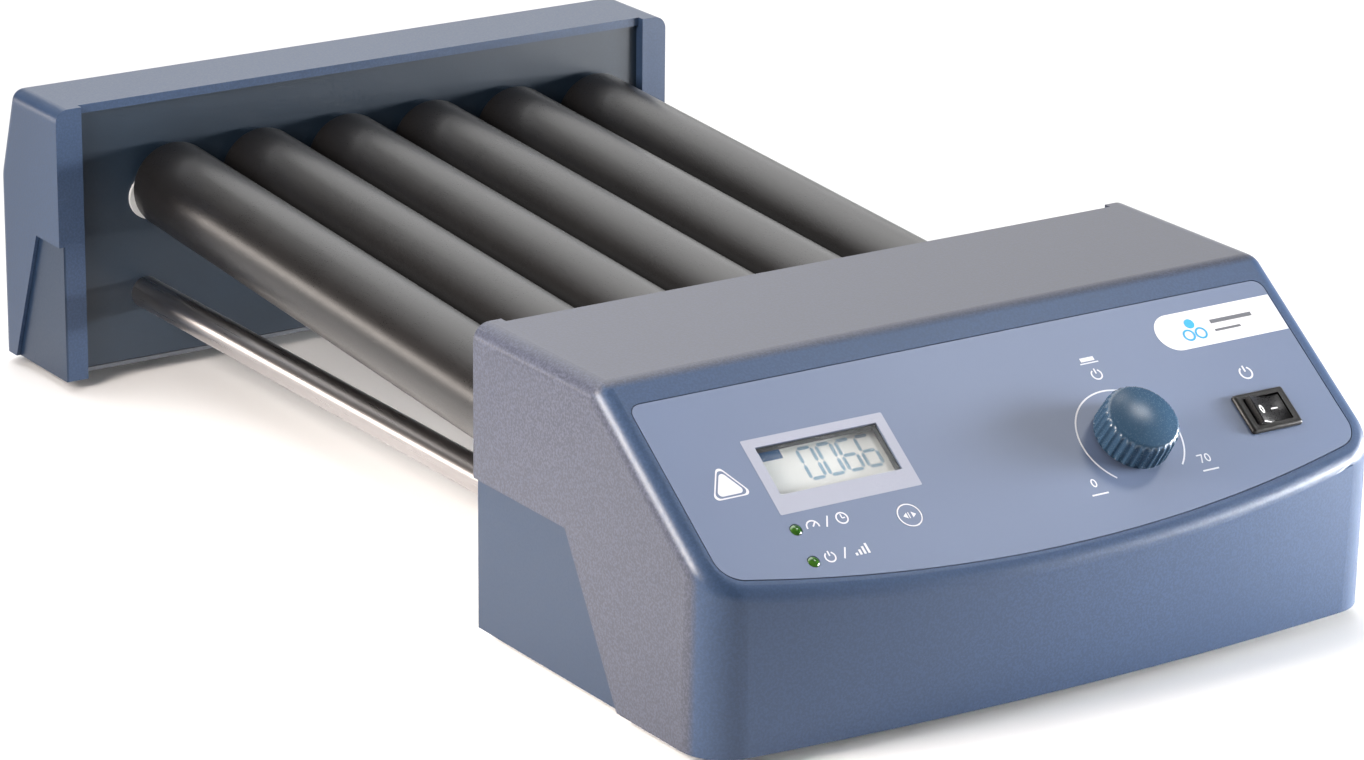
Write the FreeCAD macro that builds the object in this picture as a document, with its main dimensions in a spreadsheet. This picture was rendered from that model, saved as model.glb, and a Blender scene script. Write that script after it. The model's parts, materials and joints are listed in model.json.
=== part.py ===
import FreeCAD, Part
import math
import os

import Sketcher
from FreeCAD import Placement, Rotation, Vector

# A rolling and rocking tube mixer.  Six off-centre rollers run along Y between a control
# head (-Y) and a rear block (+Y).  Z is up, and the origin is under the middle of the
# whole mixer, on the surface that its rubber feet stand on.  All sizes are millimetres.

doc = FreeCAD.newDocument("tube_roller_mixer")
sheet = doc.addObject("Spreadsheet::Sheet", "Sizes")

DRIVING_SIZES = [
    # housings
    ("width", 264, "overall width of head and rear block"),
    ("foot_height", 4, "rubber foot under the housings"),
    ("body_height", 104, "housing without its feet"),
    ("wall", 3.2, "moulded wall"),
    ("head_back", -96, "y of the head's open side"),
    ("head_crown", -167.8, "y where the flat top ends and the panel starts"),
    ("head_corner", -232.5, "y of the front face at the side corners"),
    ("panel_angle", 36.3, "slope of the panel in degrees"),
    ("bow_low", 7.5, "bow of the front face at its bottom edge"),
    ("bow_high", 19.8, "bow of the front face if it reached the top"),
    ("corner_round", 16, "upright front corners"),
    ("crown_round", 8, "edge between top and panel"),
    ("edge_round", 6, "edges round the top and the panel"),
    ("rear_front", 196.5, "y of the rear block's open side"),
    ("rear_crown", 234, "y where the rear block's flat top ends"),
    ("rear_back", 245, "y of the rear block's outer face"),
    ("knee_height", 70, "height of the rear block's knee above its bottom edge"),
    ("rear_round", 5, "outer edges of the rear block"),
    ("knee_round", 14, "the rear block's knee"),
    ("flange_width", 10.5, "strip each side of an end plate"),
    ("flange_depth", 4.5, "how far an end plate is set back"),
    ("lip_setback", 3, "how far the top lip is set back between the corner tabs"),
    ("recess_depth", 1.7, "recess low on each side"),
    ("recess_height", 52, "top of that recess above the bottom edge"),
    ("head_recess_high", -151.2, "y where the head's recess ends at its top"),
    ("head_recess_low", -182.6, "y where the head's recess ends at the bottom edge"),
    ("rear_recess_high", 215.2, "y where the rear block's recess ends at its top"),
    ("rear_recess_low", 235, "y where the rear block's recess ends at the bottom edge"),
    ("plate_thick", 3, "end plates"),
    ("base_thick", 1.5, "base plates"),
    # rollers
    ("pitch", 36.8, "distance between roller axes"),
    ("axis_height", 69, "roller axes above the surface"),
    ("roller_radius", 16.5, "over the rubber"),
    ("core_radius", 14, "roller tube, outside"),
    ("core_wall", 1.6, "roller tube wall"),
    ("roller_length", 295.5, "roller"),
    ("throw", 9.1, "how far a roller's end is off its axis"),
    ("phase", 25, "direction of the throw at rest, from +X towards +Z, in degrees"),
    ("journal_radius", 3, "roller journal"),
    ("bush_radius", 8.8, "bush flange"),
    ("fit_gap", 0.05, "radial clearance of a running fit"),
    # drive
    ("gear_width", 7, "gear face"),
    ("gear_start", -106, "y of the gears' face towards the rollers"),
    ("idler_pin_radius", 2.5, "idler pin"),
    ("motor_radius", 17, "motor can"),
    ("gearbox_radius", 18.5, "gearbox"),
    # tie rods
    ("rod_radius", 6, "tie rod"),
    ("rod_offset", 94.5, "tie rod from the middle"),
    ("rod_height", 32, "tie rod above the surface"),
    # control panel, measured from the middle of the crown edge, down the slope
    ("overlay_half", 124.6, "half width of the overlay"),
    ("overlay_top", 10, "overlay's top edge down the slope"),
    ("overlay_side", 77, "where the overlay's bottom bow starts"),
    ("overlay_low", 91.5, "lowest point of the overlay's bottom bow"),
    ("overlay_thick", 0.8, "overlay"),
    ("overlay_top_round", 4, "upper corners of the overlay"),
    ("overlay_low_round", 9, "lower corners of the overlay"),
    ("display_x", -67.3, "display window"),
    ("display_down", 43, "display window, down the slope"),
    ("window_width", 46, "display window"),
    ("window_height", 18.5, "display window"),
    ("light_x", -91.8, "indicator lights"),
    ("light_down", 65.4, "upper indicator light"),
    ("light_step", 12.2, "from one indicator light to the next"),
    ("light_radius", 2.2, "indicator light"),
    ("mode_x", -51, "mode button"),
    ("mode_down", 69, "mode button, down the slope"),
    ("mode_radius", 4.5, "mode button"),
    ("knob_x", 41.5, "speed knob"),
    ("knob_down", 58.7, "speed knob, down the slope"),
    ("knob_radius", 13.4, "speed knob"),
    ("knob_height", 11.9, "top edge of the knob above the panel"),
    ("knob_gap", 1, "under the knob, for its push"),
    ("switch_x", 96.7, "power switch"),
    ("switch_down", 60, "power switch, down the slope"),
    ("switch_width", 20.8, "power switch bezel"),
    ("switch_depth", 15.4, "power switch bezel"),
    ("bezel_thick", 1.6, "power switch bezel"),
    ("rocker_tilt", 10, "rocker from its middle position, in degrees"),
    ("board_drop", 9, "control board below the panel"),
    # power inlet, in the head's right side
    ("inlet_y", -132, "power inlet"),
    ("inlet_height", 30, "power inlet above the surface"),
]

ROLLERS = 6
GEAR_TEETH = 12
KNOB_FLUTES = 30
OVERCUT = 10          # how far a cutting tool runs past what it cuts
SUBPARTS = []


class Size:
    """A number together with the sheet formula that gives it."""

    def __init__(self, value, formula):
        self.value = value
        self.formula = formula

    def __add__(self, other):
        other = size(other)
        return Size(self.value + other.value, "(%s + %s)" % (self.formula, other.formula))

    def __sub__(self, other):
        other = size(other)
        return Size(self.value - other.value, "(%s - %s)" % (self.formula, other.formula))

    def __mul__(self, other):
        other = size(other)
        return Size(self.value * other.value, "(%s * %s)" % (self.formula, other.formula))

    def __truediv__(self, other):
        other = size(other)
        return Size(self.value / other.value, "(%s / %s)" % (self.formula, other.formula))

    def __radd__(self, other):
        return size(other) + self

    def __rsub__(self, other):
        return size(other) - self

    def __rmul__(self, other):
        return size(other) * self

    def __neg__(self):
        return size(0) - self


def size(number):
    if isinstance(number, Size):
        return number
    return Size(float(number), "(%r)" % float(number))


def sine(angle):
    return Size(math.sin(math.radians(angle.value)), "sin(%s)" % angle.formula)


def cosine(angle):
    return Size(math.cos(math.radians(angle.value)), "cos(%s)" % angle.formula)


def root(amount):
    return Size(math.sqrt(amount.value), "sqrt(%s)" % amount.formula)


def tangent(angle):
    return Size(math.tan(math.radians(angle.value)), "tan(%s)" % angle.formula)


def write_sheet():
    """Fill the sheet, and give each driving size as an attribute of the result."""
    class Driving:
        pass
    sizes = Driving()
    for row, (alias, number, meaning) in enumerate(DRIVING_SIZES, start=1):
        sheet.set("A%d" % row, meaning)
        sheet.set("B%d" % row, str(number))
        sheet.setAlias("B%d" % row, alias)
        setattr(sizes, alias, Size(float(number), "Sizes.%s" % alias))
    doc.recompute()
    return sizes


D = write_sheet()

# Sizes that follow from the driving ones.
HALF = D.width / 2
BOTTOM = D.foot_height
TOP = D.foot_height + D.body_height
INNER_HALF = HALF - D.wall
FLANGE_HALF = HALF - D.flange_width
HEAD_PLATE_Y = D.head_back - D.flange_depth
REAR_PLATE_Y = D.rear_front + D.flange_depth
PANEL_TAN = tangent(D.panel_angle)
NOSE_LIMIT = D.head_corner - D.bow_high - OVERCUT
ROLLER_MIDDLE = (HEAD_PLATE_Y + REAR_PLATE_Y) / 2
ROLLER_AXES = [(number - (ROLLERS - 1) / 2) * D.pitch for number in range(ROLLERS)]
GEAR_MODULE = D.pitch / (2 * GEAR_TEETH)          # neighbouring gears are half a pitch apart
GEAR_RADIUS = GEAR_MODULE * (GEAR_TEETH / 2)

ALONG_Y = Rotation(Vector(1, 0, 0), -90)
AGAINST_Y = Rotation(Vector(1, 0, 0), 90)


def bind(obj, path, amount):
    obj.setExpression(path, size(amount).formula)


def place(obj, position, rotation=None):
    """Put an object at a position whose coordinates are sizes."""
    position = [size(amount) for amount in position]
    obj.Placement = Placement(Vector(*[amount.value for amount in position]), rotation or Rotation())
    for axis, amount in zip("xyz", position):
        bind(obj, "Placement.Base." + axis, amount)
    return obj


def make(kind, name):
    return doc.addObject(kind, name)


def box(name, low, extent):
    obj = make("Part::Box", name)
    for side, amount in zip(("Length", "Width", "Height"), extent):
        bind(obj, side, amount)
    return place(obj, low)


def centred_box(name, centre_x, centre_y, low_z, extent):
    low = (size(centre_x) - size(extent[0]) / 2, size(centre_y) - size(extent[1]) / 2, low_z)
    return box(name, low, extent)


def cylinder(name, radius, length, start, rotation=None):
    """A cylinder from its start point, along Z or along the rotated Z."""
    obj = make("Part::Cylinder", name)
    bind(obj, "Radius", radius)
    bind(obj, "Height", length)
    return place(obj, start, rotation)


def fuse(name, shapes):
    obj = make("Part::MultiFuse", name)
    obj.Shapes = shapes
    return obj


def group(name, shapes):
    """Separate solids kept together under one name."""
    obj = make("Part::Compound", name)
    obj.Links = shapes
    return obj


def common(name, first, second):
    obj = make("Part::MultiCommon", name)
    obj.Shapes = [first, second]
    return obj


def cut(name, base, tools):
    obj = make("Part::Cut", name)
    obj.Base = base
    obj.Tool = tools[0] if len(tools) == 1 else fuse(name + "_tools", tools)
    return obj


def subpart(obj, label):
    obj.Label = label
    SUBPARTS.append(obj)
    return obj


def outline(name, rotation, position, corners):
    """A closed sketch.  A corner is (x, y), or (x, y, radius) where an arc leads to it.

    The arcs bulge to the right of the way from corner to corner."""
    sketch = make("Sketcher::SketchObject", name)
    place(sketch, position, rotation)
    count = len(corners)
    points = [Vector(size(c[0]).value, size(c[1]).value, 0) for c in corners]
    for index in range(count):
        start, end = points[index], points[(index + 1) % count]
        target = corners[(index + 1) % count]
        if len(target) == 2:
            sketch.addGeometry(Part.LineSegment(start, end), False)
            continue
        radius = size(target[2]).value
        chord = end - start
        half = chord.Length / 2
        right = Vector(chord.y, -chord.x, 0).normalize()
        rise = radius - math.sqrt(radius * radius - half * half)
        bulge = (start + end) * 0.5 + right * rise
        sketch.addGeometry(Part.Arc(start, bulge, end), False)
    for index in range(count):
        here, after = index, (index + 1) % count
        here_end = sketch_end(sketch, here, points[after])
        after_start = sketch_end(sketch, after, points[after])
        sketch.addConstraint(Sketcher.Constraint("Coincident", here, here_end, after, after_start))
    for index in range(count):
        vertex = sketch_end(sketch, index, points[index])
        for kind, amount in zip(("DistanceX", "DistanceY"), corners[index]):
            amount = size(amount)
            number = sketch.addConstraint(
                Sketcher.Constraint(kind, -1, 1, index, vertex, amount.value))
            bind(sketch, "Constraints[%d]" % number, amount)
        target = corners[(index + 1) % count]
        if len(target) == 3:
            number = sketch.addConstraint(
                Sketcher.Constraint("Radius", index, size(target[2]).value))
            bind(sketch, "Constraints[%d]" % number, target[2])
    return sketch


def sketch_end(sketch, index, point):
    """1 or 2: which end of a sketch's edge lies at a point."""
    start = sketch.Geometry[index].StartPoint
    return 1 if start.distanceToPoint(point) < 1e-6 else 2


def prism(name, sketch, direction, length):
    obj = make("Part::Extrusion", name)
    obj.Base = sketch
    obj.DirMode = "Custom"
    obj.Dir = direction
    obj.Solid = True
    bind(obj, "LengthFwd", length)
    return obj


# A sketch whose own x is Y and whose own y is Z, facing +X.
SIDE_VIEW = Rotation(Vector(0, 1, 0), Vector(0, 0, 1), Vector(1, 0, 0), "XYZ")


def side_prism(name, low_x, length, corners):
    """A profile drawn in Y and Z, extruded along +X."""
    sketch = outline(name + "_sketch", SIDE_VIEW, (low_x, 0, 0), corners)
    return prism(name, sketch, Vector(1, 0, 0), length)


def loft(name, sections):
    obj = make("Part::Loft", name)
    obj.Sections = sections
    obj.Solid = True
    obj.Ruled = True
    return obj


def fillet(name, base, radius, is_wanted):
    """Round every edge whose two ends and middle satisfy is_wanted."""
    doc.recompute()
    chosen = []
    for number, edge in enumerate(base.Shape.Edges, start=1):
        middle = edge.valueAt((edge.FirstParameter + edge.LastParameter) / 2)
        ends = [vertex.Point for vertex in edge.Vertexes]
        if len(ends) == 2 and is_wanted(ends[0], ends[1], middle):
            chosen.append((number, radius.value, radius.value))
    if not chosen:
        raise RuntimeError("no edge to round for " + name)
    obj = make("Part::Fillet", name)
    obj.Base = base
    obj.Edges = chosen
    return obj


def near(first, second, within=0.01):
    return abs(first - second) < within


def panel_height(y):
    """Height of the panel's plane at a place along Y."""
    return TOP.value - (D.head_crown.value - y) * PANEL_TAN.value


def on_panel(obj):
    """Move a piece from the panel's own frame to the head.

    In that frame x runs to the right, y up the slope from the crown edge, z out of it."""
    place(obj, (0, D.head_crown, TOP), Rotation(Vector(1, 0, 0), D.panel_angle.value))
    bind(obj, "Placement.Rotation.Angle", D.panel_angle)
    return obj


# ---------------------------------------------------------------- head cover

def bow_radius(half_width, bow):
    return (half_width * half_width + bow * bow) / (2 * bow)


def head_plan(name, inset, back, height, bow):
    """Plan outline of the head, bowed at its front, with round front corners."""
    half = HALF - inset
    corner = D.corner_round - inset
    radius = bow_radius(half, bow)
    centre = D.head_corner + inset - bow + radius
    corner_y = centre - root((radius - corner) * (radius - corner)
                             - (half - corner) * (half - corner))
    reach = radius / (radius - corner)
    touch_x = (half - corner) * reach
    touch_y = centre + (corner_y - centre) * reach
    return outline(name, Rotation(), (0, 0, height), [
        (half, back), (-half, back), (-half, corner_y), (-touch_x, touch_y, corner),
        (touch_x, touch_y, radius), (half, corner_y, corner)])


def head_block(name, inset, back):
    """The head as a solid, smaller all round by inset, open-ended towards the rollers."""
    crown = D.head_crown + inset * tangent(D.panel_angle / 2)
    slope_end = TOP - inset / cosine(D.panel_angle) - (D.head_crown - NOSE_LIMIT) * PANEL_TAN
    profile = side_prism(name + "_profile", -(HALF - inset), 2 * (HALF - inset), [
        (back, BOTTOM), (NOSE_LIMIT, BOTTOM), (NOSE_LIMIT, slope_end), (crown, TOP - inset),
        (back, TOP - inset)])
    plan = loft(name + "_plan", [
        head_plan(name + "_low", inset, back, BOTTOM, D.bow_low),
        head_plan(name + "_high", inset, back, TOP, D.bow_high)])
    return common(name, profile, plan)


CROWN_DIP = 2         # how far the rounded crown drops below the flat top


def is_crown(first, second, middle):
    crown = D.head_crown.value
    return all(near(p.y, crown) and near(p.z, TOP.value) for p in (first, second, middle))


def is_head_rim(first, second, middle):
    """Edges round the top and the panel, but not the head's open side or the crown."""
    if near(middle.y, D.head_back.value):
        return False
    on_panel_plane = near(middle.z, panel_height(middle.y), 0.05)
    on_side = near(abs(middle.x), HALF.value)
    on_top = near(middle.z, TOP.value) or (on_side and middle.z > TOP.value - CROWN_DIP)
    is_across = near(first.x, -second.x) and near(first.y, second.y)
    return (on_panel_plane or on_top) and not (is_across and middle.y > D.head_corner.value)


# Screw bosses under the housings: x, y and the height of their top.
HEAD_BOSSES = [(-120, -112, 106), (120, -112, 106), (-120, -212, 71.5), (120, -212, 71.5)]
REAR_BOSSES = [(-120, 216, 106), (120, 216, 106)]
BOSS_RADIUS = 4
BOSS_GAP = 0.1        # between a boss and the base plate
PILOT_RADIUS = 1.45
PILOT_DEPTH = 12
# Screws that hold an end plate to its flanges: x and z.
PLATE_SCREWS = [(x, z) for x in (-126, 126) for z in (24, 90)]
FLANGE_PILOT_DEPTH = 3.6


def boss(name, x, y, top):
    """A screw boss that stands on the base plate."""
    start = BOTTOM + D.base_thick + BOSS_GAP
    return cylinder(name, BOSS_RADIUS, size(top) - start, (x, y, start))


def pilots(name, bosses):
    holes = []
    for number, (x, y, _top) in enumerate(bosses, start=1):
        start = BOTTOM - 1
        holes.append(cylinder("%s_%d" % (name, number), PILOT_RADIUS, PILOT_DEPTH, (x, y, start)))
    return holes


def flange_pilots(name, plate_y, rotation):
    """Screw holes in the flanges, from the end plate towards the rollers."""
    return [cylinder("%s_%d" % (name, number), PILOT_RADIUS, FLANGE_PILOT_DEPTH,
                     (x, plate_y, z), rotation)
            for number, (x, z) in enumerate(PLATE_SCREWS, start=1)]


def flanges(name, low_y):
    """The strips each side of an end plate."""
    extent = (D.flange_width - D.recess_depth, D.flange_depth, D.body_height - D.wall / 2)
    return [box(name + "_left", (-HALF + D.recess_depth, low_y, BOTTOM), extent),
            box(name + "_right", (FLANGE_HALF, low_y, BOTTOM), extent)]


def side_recesses(name, corners):
    """The same recess in both sides: a prism drawn in Y and Z."""
    tools = []
    for side, low in (("left", -HALF - OVERCUT), ("right", HALF - D.recess_depth)):
        tools.append(side_prism(name + "_" + side, low, D.recess_depth + OVERCUT, corners))
    return tools


def overlay_outline(name, gap):
    """Outline of the overlay, or of its pocket, in the panel's frame."""
    half = D.overlay_half + gap
    top = -(D.overlay_top - gap)
    side = -(D.overlay_side + gap)
    bow = D.overlay_low - D.overlay_side
    return outline(name, Rotation(), (0, 0, -D.overlay_thick), [
        (half, top), (-half, top), (-half, side), (half, side, bow_radius(half, bow))])


def overlay_solid(name, gap, height):
    slab = prism(name + "_slab", overlay_outline(name + "_sketch", gap), Vector(0, 0, 1), height)
    top = -(D.overlay_top.value - gap)
    side = -(D.overlay_side.value + gap)

    def is_upper(first, second, _middle):
        return all(near(p.y, top) for p in (first, second)) and near(first.x, second.x)

    def is_lower(first, second, _middle):
        return all(near(p.y, side) for p in (first, second)) and near(first.x, second.x)

    upper = fillet(name + "_upper", slab, D.overlay_top_round + gap, is_upper)
    return fillet(name, upper, D.overlay_low_round + gap, is_lower)


KNOB_HOLE_RADIUS = 3.8
SWITCH_BODY = (19, 13, 16)        # width, depth and how far it reaches below the panel
SWITCH_HOLE_GAP = 0.1


def panel_holes(name, low, height, gap):
    """Holes for the display, lights, mode button, knob and switch, in the panel's frame."""
    holes = [centred_box(name + "_display", D.display_x, -D.display_down, low,
                         (D.window_width + 2 * gap, D.window_height + 2 * gap, height))]
    for number in range(2):
        down = D.light_down + number * D.light_step
        holes.append(cylinder("%s_light_%d" % (name, number + 1), D.light_radius + gap, height,
                              (D.light_x, -down, low)))
    holes.append(cylinder(name + "_mode", D.mode_radius + gap, height,
                          (D.mode_x, -D.mode_down, low)))
    holes.append(cylinder(name + "_knob", KNOB_HOLE_RADIUS, height,
                          (D.knob_x, -D.knob_down, low)))
    around = 2 * (SWITCH_HOLE_GAP + gap)
    holes.append(centred_box(name + "_switch", D.switch_x, -D.switch_down, low,
                             (SWITCH_BODY[0] + around, SWITCH_BODY[1] + around, height)))
    return holes


INLET_BODY = (27, 20)
INLET_GAP = 0.2
POCKET_GAP = 0.35                 # round the overlay
PANEL_HOLE_GAP = 0.3


def head_cover():
    back = D.head_back
    outer = head_block("head_outer", size(0), back)
    crowned = fillet("head_crowned", outer, D.crown_round, is_crown)
    rounded = fillet("head_rounded", crowned, D.edge_round, is_head_rim)
    inner = head_block("head_inner", D.wall, back + OVERCUT)
    shell = cut("head_shell", rounded, [inner])
    bosses = [boss("head_boss_%d" % n, *place_top) for n, place_top in enumerate(HEAD_BOSSES, 1)]
    solid = fuse("head_body", [shell] + flanges("head_flange", HEAD_PLATE_Y) + bosses)
    tools = side_recesses("head_recess", [
        (back + OVERCUT, BOTTOM - 1), (back + OVERCUT, BOTTOM + D.recess_height),
        (D.head_recess_high, BOTTOM + D.recess_height), (D.head_recess_low, BOTTOM - 1)])
    tools.append(box("head_lip", (-FLANGE_HALF, back - D.lip_setback, TOP - 2 * D.wall),
                     (2 * FLANGE_HALF, OVERCUT, 4 * D.wall)))
    tools += pilots("head_pilot", HEAD_BOSSES)
    tools += flange_pilots("head_flange_pilot", HEAD_PLATE_Y, ALONG_Y)
    tools.append(box("head_inlet_hole",
                     (INNER_HALF - 1, D.inlet_y - INLET_BODY[0] / 2 - INLET_GAP,
                      D.inlet_height - INLET_BODY[1] / 2 - INLET_GAP),
                     (OVERCUT, INLET_BODY[0] + 2 * INLET_GAP, INLET_BODY[1] + 2 * INLET_GAP)))
    pocket = overlay_solid("overlay_pocket", POCKET_GAP, D.wall)
    holes = panel_holes("head_hole", -2 * D.wall, 3 * D.wall, PANEL_HOLE_GAP)
    panel_tools = fuse("head_panel_tools", [pocket] + holes)
    tools.append(on_panel(panel_tools))
    return subpart(cut("head_cover_solid", solid, tools), "head_cover")


# ---------------------------------------------------------------- rear cover

def rear_block(name, inset, front):
    """The rear block as a solid, smaller by inset."""
    lean = (D.rear_back - D.rear_crown) / (D.body_height - D.knee_height)
    knee = BOTTOM + D.knee_height
    rise = D.body_height - D.knee_height - inset
    back = D.rear_back - inset
    return side_prism(name, -(HALF - inset), 2 * (HALF - inset), [
        (front, BOTTOM), (back, BOTTOM), (back, knee), (back - lean * rise, TOP - inset),
        (front, TOP - inset)])


def rear_cover():
    front = D.rear_front
    outer = rear_block("rear_outer", size(0), front)
    knee_z = (BOTTOM + D.knee_height).value
    knee_y = D.rear_back.value

    def is_knee(first, second, _middle):
        return all(near(p.z, knee_z) and near(p.y, knee_y) for p in (first, second))

    def is_rim(first, second, middle):
        if near(middle.y, front.value) or near(middle.z, BOTTOM.value):
            return False
        on_side = all(near(abs(p.x), HALF.value) for p in (first, second, middle))
        at_back = near(first.z, TOP.value) and near(second.z, TOP.value)
        across = near(middle.x, 0)
        if across:
            return at_back
        return on_side and not near(first.x, -second.x)

    kneed = fillet("rear_kneed", outer, D.knee_round, is_knee)
    rounded = fillet("rear_rounded", kneed, D.rear_round, is_rim)
    inner = rear_block("rear_inner", D.wall, front - OVERCUT)
    shell = cut("rear_shell", rounded, [inner])
    bosses = [boss("rear_boss_%d" % n, *place_top) for n, place_top in enumerate(REAR_BOSSES, 1)]
    solid = fuse("rear_body", [shell] + flanges("rear_flange", front) + bosses)
    tools = side_recesses("rear_recess", [
        (front - OVERCUT, BOTTOM - 1), (D.rear_recess_low, BOTTOM - 1),
        (D.rear_recess_high, BOTTOM + D.recess_height),
        (front - OVERCUT, BOTTOM + D.recess_height)])
    tools.append(box("rear_lip", (-FLANGE_HALF, front - OVERCUT, TOP - 2 * D.wall),
                     (2 * FLANGE_HALF, OVERCUT + D.lip_setback, 4 * D.wall)))
    tools += pilots("rear_pilot", REAR_BOSSES)
    tools += flange_pilots("rear_flange_pilot", REAR_PLATE_Y, AGAINST_Y)
    return subpart(cut("rear_cover_solid", solid, tools), "rear_cover")


# ---------------------------------------------------------------- plates, rods, feet, screws

PLATE_CLEAR = 0.3
PLATE_RISE = 3
BUSH_BARREL = 5
SCREW_HOLE_RADIUS = 1.6
SCREW_RADIUS = 1.4
SCREW_HEAD_RADIUS = 2.8
SCREW_HEAD = 1.8
SCREW_SLOT = (0.8, 4, 0.8)
BASE_SCREW_LENGTH = 9
PLATE_SCREW_LENGTH = 6


def end_plate(label, face, inward):
    """An end plate behind a housing's flanges; inward is the way from the rollers into it."""
    thick = D.plate_thick
    low_y = face if inward > 0 else face - thick
    half = INNER_HALF - PLATE_CLEAR
    low_z = BOTTOM + PLATE_RISE
    slab = box(label + "_slab", (-half, low_y, low_z),
               (2 * half, thick, TOP - D.wall - PLATE_CLEAR - low_z))
    holes = []
    start = low_y - 1
    through = thick + 2
    for number, x in enumerate(ROLLER_AXES, start=1):
        holes.append(cylinder("%s_bush_hole_%d" % (label, number), BUSH_BARREL, through,
                              (x, start, D.axis_height), ALONG_Y))
    for number, side in enumerate((-1, 1), start=1):
        holes.append(cylinder("%s_rod_hole_%d" % (label, number), D.rod_radius, through,
                              (side * D.rod_offset, start, D.rod_height), ALONG_Y))
    for number, (x, z) in enumerate(PLATE_SCREWS, start=1):
        holes.append(cylinder("%s_screw_hole_%d" % (label, number), SCREW_HOLE_RADIUS, through,
                              (x, start, z), ALONG_Y))
    if inward < 0:
        for number, x in enumerate(idler_axes(), start=1):
            holes.append(cylinder("%s_pin_hole_%d" % (label, number), D.idler_pin_radius, 2,
                                  (x, low_y, D.axis_height), ALONG_Y))
    return subpart(cut(label + "_solid", slab, holes), label)


def idler_axes():
    return [axis + D.pitch / 2 for axis in ROLLER_AXES[:-1]]


def head_base_plate():
    half = INNER_HALF - PLATE_CLEAR
    back = HEAD_PLATE_Y - D.plate_thick - PLATE_CLEAR
    front = D.head_corner + D.wall + PLATE_CLEAR
    nip = D.corner_round - 2
    sketch = outline("head_base_sketch", Rotation(), (0, 0, BOTTOM), [
        (half, back), (-half, back), (-half, front + nip), (-half + nip, front),
        (half - nip, front), (half, front + nip)])
    slab = prism("head_base_slab", sketch, Vector(0, 0, 1), D.base_thick)
    return subpart(cut("head_base_solid", slab, base_holes("head_base", HEAD_BOSSES)),
                   "head_base_plate")


def rear_base_plate():
    half = INNER_HALF - PLATE_CLEAR
    front = REAR_PLATE_Y + D.plate_thick + PLATE_CLEAR
    slab = box("rear_base_slab", (-half, front, BOTTOM),
               (2 * half, D.rear_back - D.wall - PLATE_CLEAR - front, D.base_thick))
    return subpart(cut("rear_base_solid", slab, base_holes("rear_base", REAR_BOSSES)),
                   "rear_base_plate")


def base_holes(name, bosses):
    return [cylinder("%s_hole_%d" % (name, number), SCREW_HOLE_RADIUS, 4, (x, y, BOTTOM - 1))
            for number, (x, y, _top) in enumerate(bosses, start=1)]


ROD_END = 8           # how far a tie rod runs past the end plates
ROD_CLEAR = 0.02
NUT_THICK = 6
NUT_CIRCUMRADIUS = 10.4


def tie_rod(label, side):
    start = HEAD_PLATE_Y - D.plate_thick - ROD_END
    end = REAR_PLATE_Y + D.plate_thick + ROD_END
    rod = cylinder(label + "_bar", D.rod_radius - ROD_CLEAR, end - start,
                   (side * D.rod_offset, start, D.rod_height), ALONG_Y)
    return subpart(rod, label)


def tie_rod_nuts():
    nuts = []
    faces = [HEAD_PLATE_Y - D.plate_thick - NUT_THICK, REAR_PLATE_Y + D.plate_thick]
    for side in (-1, 1):
        for face in faces:
            name = "nut_%d" % (len(nuts) + 1)
            hexagon = make("Part::Prism", name + "_hexagon")
            hexagon.Polygon = 6
            hexagon.Circumradius = NUT_CIRCUMRADIUS
            hexagon.Height = NUT_THICK
            place(hexagon, (side * D.rod_offset, face, D.rod_height), ALONG_Y)
            bore = cylinder(name + "_bore", D.rod_radius, NUT_THICK + 2,
                            (side * D.rod_offset, face - 1, D.rod_height), ALONG_Y)
            nuts.append(cut(name, hexagon, [bore]))
    return subpart(group("nuts", nuts), "tie_rod_nuts")


FOOT_PLACES = [(x, y) for y in (-118, -206, 223) for x in (-102, 102)]
FOOT_LOW_RADIUS = 8
FOOT_TOP_RADIUS = 9.5


def rubber_feet():
    feet = []
    for x, y in FOOT_PLACES:
        cone = make("Part::Cone", "foot_%d" % (len(feet) + 1))
        cone.Radius1 = FOOT_LOW_RADIUS
        cone.Radius2 = FOOT_TOP_RADIUS
        bind(cone, "Height", D.foot_height)
        feet.append(place(cone, (x, y, 0)))
    return subpart(group("feet", feet), "rubber_feet")


def screw(name, tip, length, rotation):
    """A pan-head screw whose head lies before tip along the rotated Z."""
    back = rotation.multVec(Vector(0, 0, -1)) * SCREW_HEAD
    head_start = tuple(size(amount) + shift for amount, shift in zip(tip, back))
    head = cylinder(name + "_head", SCREW_HEAD_RADIUS, SCREW_HEAD, head_start, rotation)
    shank = cylinder(name + "_shank", SCREW_RADIUS, length, tip, rotation)
    width, length, depth = SCREW_SLOT
    slot = box(name + "_slot", (0, 0, 0), (width, length, depth + 1))
    shift = rotation.multVec(Vector(-width / 2, -length / 2, -1))
    place(slot, [size(amount) + step for amount, step in zip(head_start, shift)], rotation)
    return cut(name, fuse(name + "_solid", [head, shank]), [slot])


def housing_screws():
    screws = []
    for x, y, _top in HEAD_BOSSES + REAR_BOSSES:
        name = "screw_%d" % (len(screws) + 1)
        screws.append(screw(name, (x, y, BOTTOM), BASE_SCREW_LENGTH, Rotation()))
    head_face = HEAD_PLATE_Y - D.plate_thick
    rear_face = REAR_PLATE_Y + D.plate_thick
    for face, rotation in ((head_face, ALONG_Y), (rear_face, AGAINST_Y)):
        for x, z in PLATE_SCREWS:
            name = "screw_%d" % (len(screws) + 1)
            screws.append(screw(name, (x, face, z), PLATE_SCREW_LENGTH, rotation))
    return subpart(group("screws", screws), "housing_screws")


BUSH_FLANGE = 1.2


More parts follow.
